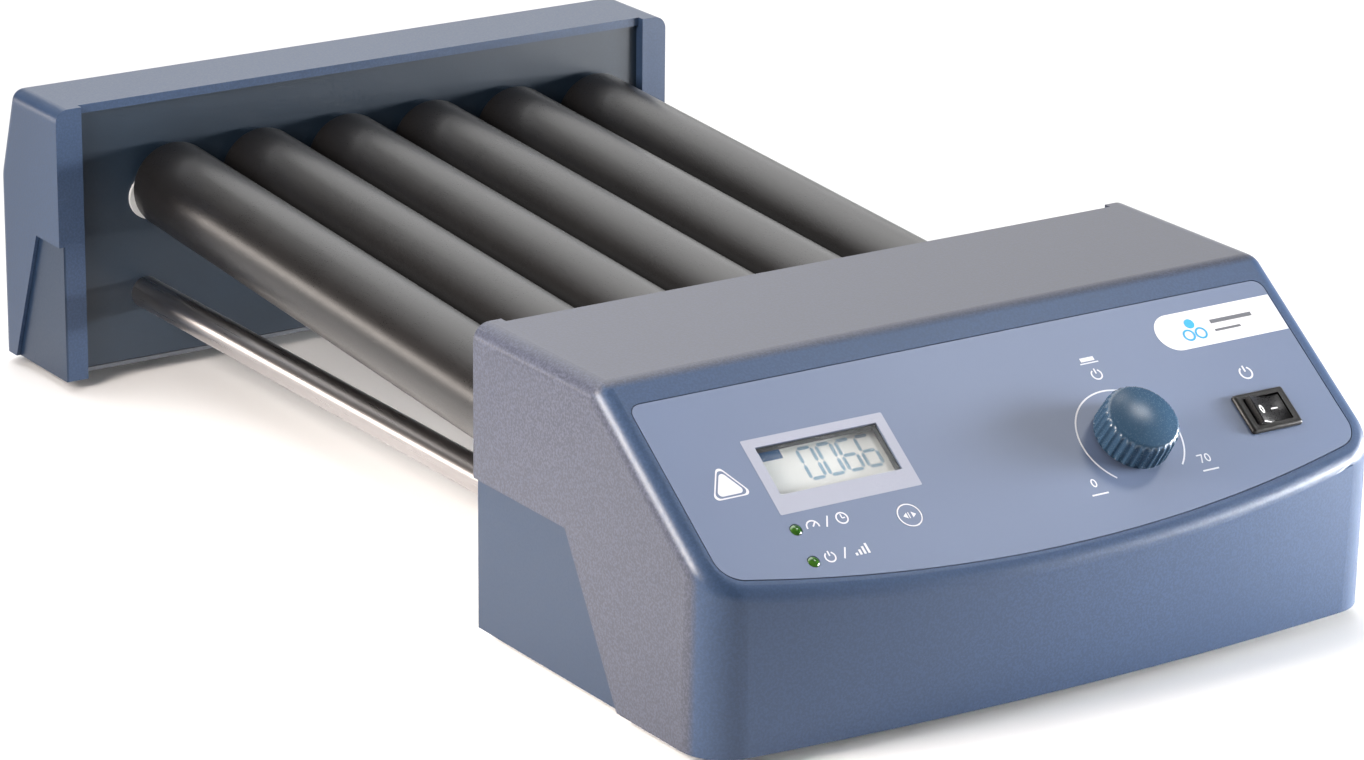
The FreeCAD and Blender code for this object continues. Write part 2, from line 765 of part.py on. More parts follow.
def roller_bushes():
    bushes = []
    flange = BUSH_FLANGE
    barrel = D.plate_thick + 1
    for face, inward in ((HEAD_PLATE_Y, -1), (REAR_PLATE_Y, 1)):
        rotation = Rotation(Vector(1, 0, 0), -90 * inward)
        for x in ROLLER_AXES:
            name = "bush_%d" % (len(bushes) + 1)
            top = face - inward * flange
            body = fuse(name + "_body", [
                cylinder(name + "_flange", D.bush_radius, flange, (x, top, D.axis_height), rotation),
                cylinder(name + "_barrel", BUSH_BARREL, barrel, (x, face, D.axis_height), rotation)])
            bore = cylinder(name + "_bore", D.journal_radius + D.fit_gap, barrel + flange + 2,
                            (x, top - inward, D.axis_height), rotation)
            bushes.append(cut(name, body, [bore]))
    return subpart(group("bushes", bushes), "roller_bushes")


# ---------------------------------------------------------------- rollers

ROLLER_TILT = Size(math.degrees(math.atan(2 * D.throw.value / D.roller_length.value)),
                   "atan(2 * %s / %s)" % (D.throw.formula, D.roller_length.formula))
TILT_AXIS = Vector(math.sin(math.radians(D.phase.value)), 0,
                   -math.cos(math.radians(D.phase.value)))
TILTED = Rotation(TILT_AXIS, ROLLER_TILT.value).multiply(ALONG_Y)
PLUG_LENGTH = 12
GLUE_GAP = 0.02                   # between parts that are pressed or glued together
CORE_SHORTER = 0.5                # how far the tube ends inside the rubber, at each end
JOURNAL_REACH = {-1: HEAD_PLATE_Y - 14, 1: REAR_PLATE_Y + 9}


def roller_point(axis, along):
    """A point on a roller's own centre line, measured from its middle."""
    run = along * cosine(ROLLER_TILT)
    off = along * sine(ROLLER_TILT)
    return (axis + off * cosine(D.phase), ROLLER_MIDDLE + run,
            D.axis_height + off * sine(D.phase))


def roller_tube(name, axis, outside, inside, shorten):
    """A tube on the roller's tilted centre line."""
    half = D.roller_length / 2 - shorten
    body = cylinder(name + "_outside", outside, 2 * half, roller_point(axis, -half), TILTED)
    bore = cylinder(name + "_inside", inside, 2 * half + 2, roller_point(axis, -half - 1), TILTED)
    return cut(name, body, [bore])


def roller_journals(name, axis):
    """End plugs of the roller tube, each with its journal on the axis of rotation."""
    plugs = []
    half = D.roller_length / 2
    for side, end in ((-1, "head"), (1, "rear")):
        low = -half if side < 0 else half - PLUG_LENGTH
        plug = cylinder("%s_%s_plug" % (name, end), D.core_radius - D.core_wall, PLUG_LENGTH,
                        roller_point(axis, low), TILTED)
        root = ROLLER_MIDDLE + side * (half - PLUG_LENGTH / 2)
        tip = JOURNAL_REACH[side]
        start, length = (tip, root - tip) if side < 0 else (root, tip - root)
        journal = cylinder("%s_%s_pin" % (name, end), D.journal_radius, length,
                           (axis, start, D.axis_height), ALONG_Y)
        plugs.append(fuse("%s_%s" % (name, end), [plug, journal]))
    return group(name, plugs)


HUB_RADIUS = 4.6
HUB_RISE = 1


def involute(angle):
    return math.tan(angle) - angle


def gear_face(teeth, module, pressure_deg=25.0, backlash=0.16):
    """The outline of an involute gear, a tooth centred on +X, as a face at the origin."""
    pressure = math.radians(pressure_deg)
    pitch_radius = module * teeth / 2
    base_radius = pitch_radius * math.cos(pressure)
    tip_radius = pitch_radius + 0.9 * module
    root_radius = pitch_radius - 1.2 * module
    half_tooth = math.pi / (2 * teeth) - backlash / (2 * pitch_radius) + involute(pressure)
    radii = [base_radius + (tip_radius - base_radius) * step / 4 for step in range(5)]
    flank = [(root_radius, half_tooth)]
    flank += [(radius, half_tooth - involute(math.acos(base_radius / radius))) for radius in radii]
    corners = []
    for tooth in range(teeth):
        middle = 2 * math.pi * tooth / teeth
        corners += [(radius, middle - angle) for radius, angle in flank]
        corners += [(radius, middle + angle) for radius, angle in reversed(flank)]
    points = [Vector(r * math.cos(a), r * math.sin(a), 0) for r, a in corners]
    return Part.Face(Part.makePolygon(points + points[:1]))


def gear(label, axis, height, bore_radius, turned):
    """A gear whose axis runs along Y; turned shifts it by half a tooth, to mesh."""
    width = D.gear_width.value
    blank = gear_face(GEAR_TEETH, GEAR_MODULE.value).extrude(Vector(0, 0, width))
    hub = Part.makeCylinder(HUB_RADIUS, width + HUB_RISE)
    bore = Part.makeCylinder(bore_radius, width + HUB_RISE + 2, Vector(0, 0, -1))
    obj = make("Part::Feature", label + "_gear_solid")
    obj.Shape = blank.fuse(hub).cut(bore)
    half_tooth = 180.0 / GEAR_TEETH if turned else 0.0
    spin = Rotation(Vector(0, 0, 1), half_tooth)
    facing = Rotation(Vector(1, 0, 0), 90)
    place(obj, (axis, D.gear_start, height), facing.multiply(spin))
    return subpart(obj, label)


def rollers():
    for number, axis in enumerate(ROLLER_AXES, start=1):
        name = "roller_%d" % number
        subpart(roller_tube(name + "_rubber", axis, D.roller_radius, D.core_radius + GLUE_GAP, 0),
                name + "_sleeve")
        subpart(roller_tube(name + "_tube", axis, D.core_radius,
                            D.core_radius - D.core_wall + GLUE_GAP, CORE_SHORTER),
                name + "_core")
        subpart(roller_journals(name + "_ends", axis), name + "_journals")
        gear(name + "_gear", axis, D.axis_height, D.journal_radius.value + GLUE_GAP, False)


# ---------------------------------------------------------------- drive

DRIVEN_ROLLER = 3
RUNNING_GAP = 0.06                # idler gear on its pin
PIN_PAST_GEAR = 1.5
PIN_HEAD_RADIUS = 3.8
SHAFT_RADIUS = 3


def drive_axis():
    return ROLLER_AXES[DRIVEN_ROLLER - 1], D.axis_height - 2 * GEAR_RADIUS


def idlers():
    pins = []
    for number, axis in enumerate(idler_axes(), start=1):
        gear("idler_gear_%d" % number, axis, D.axis_height,
             D.idler_pin_radius.value + RUNNING_GAP, True)
        name = "idler_pin_%d" % number
        end = D.gear_start - D.gear_width - PIN_PAST_GEAR
        start = HEAD_PLATE_Y - 1
        pin = cylinder(name + "_shank", D.idler_pin_radius - 0.01, start - end,
                       (axis, end, D.axis_height), ALONG_Y)
        head = cylinder(name + "_head", PIN_HEAD_RADIUS, 1, (axis, end - 1, D.axis_height), ALONG_Y)
        pins.append(fuse(name, [pin, head]))
    subpart(group("idler_pin_group", pins), "idler_pins")


GEARBOX_LENGTH = 22
GEARBOX_GAP = 6
GEARBOX_PLATE = (60, 3, 60)
PLATE_BELOW = 20                  # how far that plate reaches below the shaft
PILLARS = [(dx, dz) for dx in (-26, 26) for dz in (-15, 35)]
PILLAR_RADIUS = 3
SHAFT_INTO_GEARBOX = 10
JOURNAL_WINDOW = 4.2              # hole in the plate for the end of the roller journal
MOTOR_LENGTH = 40
MOTOR_BEARING = (6, 3)            # radius and length
MOTOR_TAG = (3, 6, 0.8)
MOTOR_TAG_OFFSET = 11


def drive():
    x, z = drive_axis()
    gear("drive_pinion", x, z, SHAFT_RADIUS + GLUE_GAP, True)
    face = D.gear_start - D.gear_width - GEARBOX_GAP
    shaft_end = face - SHAFT_INTO_GEARBOX
    shaft = cylinder("shaft_bar", SHAFT_RADIUS, D.gear_start + 0.6 - shaft_end,
                     (x, shaft_end, z), ALONG_Y)
    subpart(shaft, "motor_shaft")
    drum = cylinder("gearbox_drum", D.gearbox_radius, GEARBOX_LENGTH,
                    (x, face - GEARBOX_LENGTH, z), ALONG_Y)
    plate = box("gearbox_plate", (x - GEARBOX_PLATE[0] / 2, face - GEARBOX_PLATE[1],
                                  z - PLATE_BELOW), GEARBOX_PLATE)
    pillars = []
    for number, (dx, dz) in enumerate(PILLARS, start=1):
        pillars.append(cylinder("gearbox_pillar_%d" % number, PILLAR_RADIUS,
                                HEAD_PLATE_Y - D.plate_thick - face + 1,
                                (x + dx, face - 1, z + dz), ALONG_Y))
    body = fuse("gearbox_body", [drum, plate] + pillars)
    bore = cylinder("gearbox_bore", SHAFT_RADIUS + D.fit_gap, 2 * SHAFT_INTO_GEARBOX,
                    (x, shaft_end - 0.5, z), ALONG_Y)
    window = cylinder("gearbox_window", JOURNAL_WINDOW, 2 * GEARBOX_PLATE[1] + 4,
                      (x, face - 2 * GEARBOX_PLATE[1], D.axis_height), ALONG_Y)
    subpart(cut("gearbox_solid", body, [bore, window]), "motor_gearbox")
    back = face - GEARBOX_LENGTH - MOTOR_LENGTH
    can = cylinder("motor_drum", D.motor_radius, MOTOR_LENGTH, (x, back, z), ALONG_Y)
    radius, length = MOTOR_BEARING
    cap = cylinder("motor_end", radius, length, (x, back - length, z), ALONG_Y)
    tags = []
    for number, side in enumerate((-1, 1), start=1):
        width, reach, thick = MOTOR_TAG
        tags.append(box("motor_tag_%d" % number,
                        (x - width / 2 + side * MOTOR_TAG_OFFSET, back - reach + 1, z - thick / 2),
                        MOTOR_TAG))
    subpart(fuse("motor_solid", [can, cap] + tags), "drive_motor")


# ---------------------------------------------------------------- control panel

def panel_overlay():
    slab = overlay_solid("overlay_solid", 0.0, D.overlay_thick)
    holes = panel_holes("overlay_hole", -2 * D.overlay_thick, 3 * D.overlay_thick, 0.0)
    return subpart(on_panel(cut("overlay_sheet", slab, holes)), "panel_overlay")


WINDOW_GAP = 0.05                 # all round the display window
MODULE_SIZE = (56, 27)
MODULE_PINS = (40, 1.6, 1.5)
MODULE_PIN_OFFSET = 12


def display():
    window = centred_box("window_slab", D.display_x, -D.display_down, -D.overlay_thick,
                         (D.window_width - 2 * WINDOW_GAP, D.window_height - 2 * WINDOW_GAP,
                          D.overlay_thick))
    subpart(on_panel(group("window_solid", [window])), "display_window")
    block = centred_box("display_block", D.display_x, -D.display_down, -D.board_drop + 1,
                        MODULE_SIZE + (D.board_drop - 1 - D.wall - 0.2,))
    pins = []
    for number, side in enumerate((-1, 1), start=1):
        pins.append(centred_box("display_pins_%d" % number, D.display_x,
                                -D.display_down + side * MODULE_PIN_OFFSET, -D.board_drop,
                                MODULE_PINS))
    subpart(on_panel(fuse("display_solid", [block] + pins)), "display_module")


BUTTON_TRAVEL = 0.4
BOARD_LOW = (-107, -84)           # the board's lower left corner on the panel
BOARD_SIZE = (180, 60, 1.6)
KEY_SIZE = (6, 6, 2.6)            # the switch under the mode button
# Chips and connectors on the board: place, footprint and height.
CHIPS = [(-22, -50, 14, 14, 1.7), (-10, -74, 8, 5, 1.6), (8, -40, 9, 22, 3.5),
         (58, -34, 20, 8, 4.5)]
BOARD_CANS = [(66, -48), (66, -62)]
BOARD_CAN_SIZE = (3.2, 4.5)       # radius and height
SOLDERED = 0.1                    # how far a component is set into its board


def control_board():
    thick = BOARD_SIZE[2]
    top = -D.board_drop - SOLDERED
    parts = [box("board_slab", BOARD_LOW + (-D.board_drop - thick,), BOARD_SIZE)]
    parts.append(centred_box("board_key", D.mode_x, -D.mode_down, top, KEY_SIZE))
    for number, (x, y, width, depth, rise) in enumerate(CHIPS, start=1):
        parts.append(centred_box("board_chip_%d" % number, x, y, top, (width, depth, rise)))
    radius, rise = BOARD_CAN_SIZE
    for number, (x, y) in enumerate(BOARD_CANS, start=1):
        parts.append(cylinder("board_can_%d" % number, radius, rise, (x, y, top)))
    return subpart(on_panel(fuse("board_solid", parts)), "control_board")


LENS_LOW = -0.6                   # where a light's dome starts
LENS_RISE = 0.5                   # its top above the panel
LENS_GAP = 0.05


def indicator_lights():
    lights = []
    radius = D.light_radius - LENS_GAP
    for number in range(2):
        name = "light_%d" % (number + 1)
        down = D.light_down + number * D.light_step
        stem = cylinder(name + "_stem", radius, D.board_drop + LENS_LOW,
                        (D.light_x, -down, -D.board_drop))
        dome = make("Part::Ellipsoid", name + "_dome")
        dome.Radius1 = LENS_RISE - LENS_LOW
        dome.Radius2 = radius.value
        dome.Radius3 = radius.value
        dome.Angle1 = 0
        place(dome, (D.light_x, -down, LENS_LOW - 0.001))
        lights.append(fuse(name, [stem, dome]))
    return subpart(on_panel(group("lights", lights)), "indicator_lights")


BUTTON_GAP = 0.12
BUTTON_STEM_RADIUS = 2


def mode_button():
    cap = cylinder("mode_cap", D.mode_radius - BUTTON_GAP, D.overlay_thick,
                   (D.mode_x, -D.mode_down, -D.overlay_thick))
    start = -D.board_drop - SOLDERED + KEY_SIZE[2] + BUTTON_TRAVEL + 0.05
    stem = cylinder("mode_stem", BUTTON_STEM_RADIUS, -D.overlay_thick - start + 0.1,
                    (D.mode_x, -D.mode_down, start))
    return subpart(on_panel(fuse("mode_solid", [cap, stem])), "mode_button")


KNOB_TAPER = 0.97
KNOB_CAP_EDGE = 0.6               # flat edge round the domed top
KNOB_DOME = 0.9
KNOB_ROOF = 2.5                   # solid above the bore
FLUTE_RADIUS = 0.75
FLUTE_OUTSIDE = 0.2               # how far a flute's centre is outside the knob
FLUTE_STOP = 1.2                  # how far the flutes end below the top edge


def speed_knob():
    """The knob: a slightly tapered drum with a shallow dome, flutes and a blind bore."""
    x = D.knob_x
    y = -D.knob_down
    skirt = make("Part::Cone", "knob_skirt")
    bind(skirt, "Radius1", D.knob_radius)
    bind(skirt, "Radius2", D.knob_radius * KNOB_TAPER)
    bind(skirt, "Height", D.knob_height - D.knob_gap)
    place(skirt, (x, y, D.knob_gap))
    cap_radius = D.knob_radius * KNOB_TAPER - KNOB_CAP_EDGE
    ball_radius = (cap_radius * cap_radius + KNOB_DOME * KNOB_DOME) / (2 * KNOB_DOME)
    ball = make("Part::Sphere", "knob_ball")
    bind(ball, "Radius", ball_radius)
    place(ball, (x, y, D.knob_height + KNOB_DOME - ball_radius))
    cap_blank = cylinder("knob_cap_blank", cap_radius + 0.01, KNOB_DOME + 1,
                         (x, y, D.knob_height - 0.05))
    body = fuse("knob_body", [skirt, common("knob_cap", ball, cap_blank)])
    tools = [cylinder("knob_bore", SHAFT_RADIUS + D.fit_gap, D.knob_height - KNOB_ROOF, (x, y, 0))]
    reach = D.knob_radius + FLUTE_OUTSIDE
    for number in range(KNOB_FLUTES):
        turn = 2 * math.pi * number / KNOB_FLUTES
        tools.append(cylinder("knob_flute_%d" % (number + 1), FLUTE_RADIUS,
                              D.knob_height - FLUTE_STOP,
                              (x + reach * math.cos(turn), y + reach * math.sin(turn), 0)))
    return subpart(on_panel(cut("knob_solid", body, tools)), "speed_knob")


ENCODER_CASE = (13, 12.5)
ENCODER_NECK_RADIUS = 3.6
ENCODER_NECK_START = 0.3          # below the inside of the panel; the neck ends flush outside
PLUNGER_RADIUS = 2.2
SHAFT_LOW = -5.8                  # lower end of the encoder shaft
PLUNGER_LOW = -7.8                # lower end of the plunger under it


def speed_encoder():
    x = D.knob_x
    y = -D.knob_down
    case = centred_box("encoder_case", x, y, -D.board_drop,
                       ENCODER_CASE + (D.board_drop - D.wall - 0.1,))
    neck = cylinder("encoder_neck", ENCODER_NECK_RADIUS, D.wall + ENCODER_NECK_START,
                    (x, y, -D.wall - ENCODER_NECK_START))
    bore = cylinder("encoder_bore", SHAFT_RADIUS + D.fit_gap, 2 * D.board_drop,
                    (x, y, -D.board_drop + 0.2))
    body = fuse("encoder_body", [case, neck])
    subpart(on_panel(cut("encoder_solid", body, [bore])), "speed_encoder")
    plunger = cylinder("plunger_bar", PLUNGER_RADIUS, SHAFT_LOW - PLUNGER_LOW - 0.02,
                       (x, y, PLUNGER_LOW))
    subpart(on_panel(group("plunger_solid", [plunger])), "encoder_plunger")
    shaft = cylinder("encoder_shaft_bar", SHAFT_RADIUS, D.knob_height - KNOB_ROOF - 0.1 - SHAFT_LOW,
                     (x, y, SHAFT_LOW))
    subpart(on_panel(group("encoder_shaft_solid", [shaft])), "encoder_shaft")


SWITCH_WELL = (15.6, 11.4, 9)     # width, depth and how far it reaches below the panel
ROCKER_HALF = 6.9
ROCKER_WIDTH = 11
ROCKER_PIVOT = -2.0
PIVOT_RADIUS = 1.2
PIVOT_LENGTH = 12.8
PIVOT_GAP = 0.05


def power_switch():
    """The switch case with its bezel, and the rocker on its two pivot pins."""
    x = D.switch_x
    y = -D.switch_down
    across = Rotation(Vector(1, 0, 0), 90)
    bezel = centred_box("switch_bezel", x, y, 0.02, (D.switch_width, D.switch_depth, D.bezel_thick))
    width, depth, drop = SWITCH_BODY
    body = centred_box("switch_body", x, y, -drop, (width, depth, drop + 0.5))
    width, depth, drop = SWITCH_WELL
    well = centred_box("switch_well", x, y, -drop, (width, depth, 2 * drop))
    bore = cylinder("switch_bore", PIVOT_RADIUS + PIVOT_GAP, SWITCH_BODY[1] + 2,
                    (x, y + SWITCH_BODY[1] / 2 + 1, ROCKER_PIVOT), across)
    case = cut("switch_solid", fuse("switch_case", [bezel, body]), [well, bore])
    subpart(on_panel(case), "power_switch_housing")
    # The rocker is drawn level, round its pivot, and then tipped with its right end in.
    half = ROCKER_HALF
    sketch = outline("rocker_sketch", across, (0, ROCKER_WIDTH / 2, 0), [
        (-half, -1.5), (-2.5, -4.5), (2.5, -4.5), (half, -1.5), (half, 4.4), (0, 3.6),
        (-half, 4.4)])
    paddle = prism("rocker_paddle", sketch, Vector(0, -1, 0), ROCKER_WIDTH)
    pin = cylinder("rocker_pin", PIVOT_RADIUS, PIVOT_LENGTH, (0, PIVOT_LENGTH / 2, 0), across)
    rocker = group("rocker_tipped", [fuse("rocker_body", [paddle, pin])])
    place(rocker, (x, y, ROCKER_PIVOT), Rotation(Vector(0, 1, 0), D.rocker_tilt.value))
    bind(rocker, "Placement.Rotation.Angle", D.rocker_tilt)
    subpart(on_panel(group("rocker_solid", [rocker])), "power_switch_rocker")


# ---------------------------------------------------------------- power

SUPPLY_BOARD = (70, 52, 1.6)
SUPPLY_LOW = (34, -182)           # x and y of its lower left corner
SUPPLY_RISE = 4                   # board above the base plate
SUPPLY_LEGS = [(x, y) for x in (38, 100) for y in (-178, -134)]
SUPPLY_BLOCKS = [(44, -172, 28, 24, 22), (80, -176, 3, 34, 20)]
SUPPLY_CANS = [(93, -168, 7, 22), (93, -148, 5, 14), (58, -140, 4, 10)]


def power_supply():
    """The supply board on its legs, with its transformer, heat sink and capacitors."""
    low = BOTTOM + D.base_thick
    board_z = low + SUPPLY_RISE
    parts = [box("supply_board", SUPPLY_LOW + (board_z,), SUPPLY_BOARD)]
    for number, (x, y) in enumerate(SUPPLY_LEGS, start=1):
        parts.append(cylinder("supply_leg_%d" % number, 2.5, SUPPLY_RISE + 0.5, (x, y, low)))
    top = board_z + SUPPLY_BOARD[2] - SOLDERED
    for number, (x, y, width, depth, rise) in enumerate(SUPPLY_BLOCKS, start=1):
        parts.append(box("supply_block_%d" % number, (x, y, top), (width, depth, rise)))
    for number, (x, y, radius, rise) in enumerate(SUPPLY_CANS, start=1):
        parts.append(cylinder("supply_can_%d" % number, radius, rise, (x, y, top)))
    return subpart(fuse("supply_solid", parts), "power_supply")


INLET_DEPTH = 20
INLET_FLANGE = (2, 31, 24)
CAVITY = (16, 24.2, 16.6)
INLET_PIN = (11, 2, 4)
INLET_PINS = [(-7, -2), (7, -2), (0, 2)]


def power_inlet():
    """A three-pin appliance inlet in the recessed part of the head's right side."""
    face = HALF - D.recess_depth
    y = D.inlet_y
    z = D.inlet_height
    thick, width, height = INLET_FLANGE
    flange = box("inlet_flange", (face + 0.02, y - width / 2, z - height / 2), INLET_FLANGE)
    body = box("inlet_body", (face - INLET_DEPTH, y - INLET_BODY[0] / 2, z - INLET_BODY[1] / 2),
               (INLET_DEPTH + 1, INLET_BODY[0], INLET_BODY[1]))
    mouth = face + thick
    depth, width, height = CAVITY
    cavity = box("inlet_cavity", (mouth - depth, y - width / 2, z - height / 2),
                 (depth + 2, width, height))
    hollow = cut("inlet_hollow", fuse("inlet_block", [flange, body]), [cavity])
    pins = []
    _reach, width, height = INLET_PIN
    for number, (dy, dz) in enumerate(INLET_PINS, start=1):
        pins.append(box("inlet_pin_%d" % number,
                        (mouth - depth - 1, y + dy - width / 2, z + dz - height / 2), INLET_PIN))
    return subpart(fuse("inlet_solid", [hollow] + pins), "power_inlet")


# ---------------------------------------------------------------- build, check and write

def check(obj):
    for state in ("Invalid", "Error"):
        if state in obj.State:
            raise RuntimeError("%s is %s" % (obj.Name, state))


def build():
    head_cover()
    rear_cover()
    end_plate("head_end_plate", HEAD_PLATE_Y, -1)
    end_plate("rear_end_plate", REAR_PLATE_Y, 1)
    head_base_plate()
    rear_base_plate()
    tie_rod("left_tie_rod", -1)
    tie_rod("right_tie_rod", 1)
    tie_rod_nuts()
    rubber_feet()
    housing_screws()
    roller_bushes()
    rollers()
    idlers()
    drive()
    panel_overlay()
    display()
    control_board()
    indicator_lights()
    mode_button()
    speed_knob()
    speed_encoder()
    power_switch()
    power_supply()
    power_inlet()
    doc.recompute()


def write():
    for obj in doc.Objects:
        check(obj)
    for obj in SUBPARTS:
        if obj.Shape.isNull() or not obj.Shape.isValid():
            raise RuntimeError(obj.Label + " has no valid shape")
    os.makedirs("parts", exist_ok=True)
    for obj in SUBPARTS:
        obj.Shape.exportStep(os.path.join("parts", obj.Label + ".step"))
        print("%-22s %2d solids %12.1f mm3" % (obj.Label, len(obj.Shape.Solids), obj.Shape.Volume))
    print(len(SUBPARTS), "sub-parts")


build()
write()
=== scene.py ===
import json
import math

import bmesh
import bpy
from mathutils import Matrix, Vector


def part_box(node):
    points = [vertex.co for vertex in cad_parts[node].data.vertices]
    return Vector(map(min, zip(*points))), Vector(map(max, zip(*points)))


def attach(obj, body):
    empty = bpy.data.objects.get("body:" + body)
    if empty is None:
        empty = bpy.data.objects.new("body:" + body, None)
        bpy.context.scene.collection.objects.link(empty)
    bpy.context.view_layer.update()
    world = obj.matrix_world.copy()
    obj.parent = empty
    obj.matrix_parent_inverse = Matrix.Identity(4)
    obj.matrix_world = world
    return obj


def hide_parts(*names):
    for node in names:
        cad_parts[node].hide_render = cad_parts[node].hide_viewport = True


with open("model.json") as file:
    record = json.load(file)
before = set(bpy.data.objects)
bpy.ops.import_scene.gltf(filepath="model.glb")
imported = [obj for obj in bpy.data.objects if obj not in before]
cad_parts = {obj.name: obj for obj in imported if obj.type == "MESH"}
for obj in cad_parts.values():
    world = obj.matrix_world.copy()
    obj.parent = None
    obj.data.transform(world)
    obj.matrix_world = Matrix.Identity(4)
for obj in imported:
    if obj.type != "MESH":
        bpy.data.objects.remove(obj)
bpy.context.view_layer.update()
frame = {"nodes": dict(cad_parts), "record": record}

# Looks of a tube roller mixer.  Everything is in metres; the panel's own frame has x to
# the right, y up the slope from the crown edge and z out of the panel, in millimetres.

MM = 0.001
NODES = frame["nodes"]
TAU = 2 * math.pi

# ---------------------------------------------------------------- places on the object

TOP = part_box("head_cover")[1].z
SIDE = -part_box("head_cover")[0].x
CROWN_Y = -167.8 * MM
PANEL_SLOPE = math.radians(36.3)
PANEL = (Matrix.Translation((0, CROWN_Y, TOP)) @ Matrix.Rotation(PANEL_SLOPE, 4, "X")
         @ Matrix.Scale(MM, 4))

WINDOW = (-67.3, -43.0)
WINDOW_SIZE = (46.0, 18.5)
LCD_DEPTH = -3.4
LIGHT_X = -91.8
LIGHT_Y = (-65.4, -77.6)
MODE = (-51.0, -69.0)
MODE_RADIUS = 4.38
KNOB = (41.5, -58.7)
KNOB_RADIUS = 13.4
KNOB_TOP = 11.9
KNOB_DOME = 0.85
KNOB_GAP = 1.0
SWITCH = (96.7, -60.0)
SWITCH_TILT = math.radians(10)
SWITCH_PIVOT = -2.0

ROLLERS = 6
ROLLER_LENGTH = 295.5 * MM
ROLLER_RADIUS = 16.5 * MM
ROLLER_BORE = 14.02 * MM
ROLLER_THROW = 9.1 * MM
ROLLER_PHASE = math.radians(25)


# ---------------------------------------------------------------- materials

class Finish:
    """A material under construction."""

    def __init__(self, name, **fixed):
        self.material = bpy.data.materials.new(name)
        self.material.use_nodes = True
        self.tree = self.material.node_tree
        self.shader = self.tree.nodes["Principled BSDF"]
        for socket, amount in fixed.items():
            self.shader.inputs[socket.replace("_", " ")].default_value = amount
        self.place = self.tree.nodes.new("ShaderNodeTexCoord").outputs["Object"]

    def node(self, kind, inputs=(), **settings):
        made = self.tree.nodes.new(kind)
        for key, value in settings.items():
            setattr(made, key, value)
        for socket, value in dict(inputs).items():
            if isinstance(value, bpy.types.NodeSocket):
                self.tree.links.new(value, made.inputs[socket])
            else:
                made.inputs[socket].default_value = value
        return made

    def noise(self, scale, detail=2.0, rough=0.5, stretch=(1, 1, 1)):
        place = self.node("ShaderNodeMapping", {"Vector": self.place, "Scale": stretch})
        return self.node("ShaderNodeTexNoise", {
            "Vector": place.outputs[0], "Scale": scale, "Detail": detail,
            "Roughness": rough}).outputs["Fac"]

    def maths(self, operation, first, second=0.0):
        return self.node("ShaderNodeMath", {0: first, 1: second}, operation=operation).outputs[0]

    def spread(self, amount, low, high, start=0.3, end=0.7):
        """Turn start..end of a noise into low..high."""
        return self.node("ShaderNodeMapRange", {
            "Value": amount, "From Min": start, "From Max": end,
            "To Min": low, "To Max": high}).outputs["Result"]

    def mix(self, amount, first, second):
        made = self.node("ShaderNodeMix", data_type="RGBA")
        for socket, value in ((0, amount), (6, first), (7, second)):
            if isinstance(value, bpy.types.NodeSocket):
                self.tree.links.new(value, made.inputs[socket])
            else:
                made.inputs[socket].default_value = value
        return made.outputs[2]

    def set(self, socket, value):
        self.tree.links.new(value, self.shader.inputs[socket])

    def bump(self, height, strength, depth):
        made = self.node("ShaderNodeBump", {"Height": height, "Strength": strength,
                                            "Distance": depth})
        self.set("Normal", made.outputs[0])


def colour(red, green, blue):
    return (red, green, blue, 1.0)


def shade(base, factor):
    return colour(*[channel * factor for channel in base[:3]])


HOUSING_BLUE = colour(0.034, 0.061, 0.122)
# painted sheen: a paler, greyer colour for the head's top and sides, where the lights give a sheen
GRAIN_AND_SHEEN_GREY = colour(0.050, 0.056, 0.082)
# painted shade: a darker blue for the side recesses
RECESS_SHADE_BLUE = colour(0.012, 0.028, 0.062)
GRAIN = 1150          # moulded grain, features per metre
RECESS_TOP = 56.0 * MM
RECESS_SIDE = 130.8 * MM      # between the housing's side and the recess's floor
RECESS_MIN = 129.5 * MM       # a little inside the recess's floor
RECESS_FRONT = -190.0 * MM
RECESS_REAR = 237.0 * MM
# bounds of the painted sheen where it runs round the head's top edges
CORNER_START = TOP + SIDE - 5.0 * MM      # height and reach added, on the round top edges
CORNER_END = TOP + SIDE - 4.0 * MM


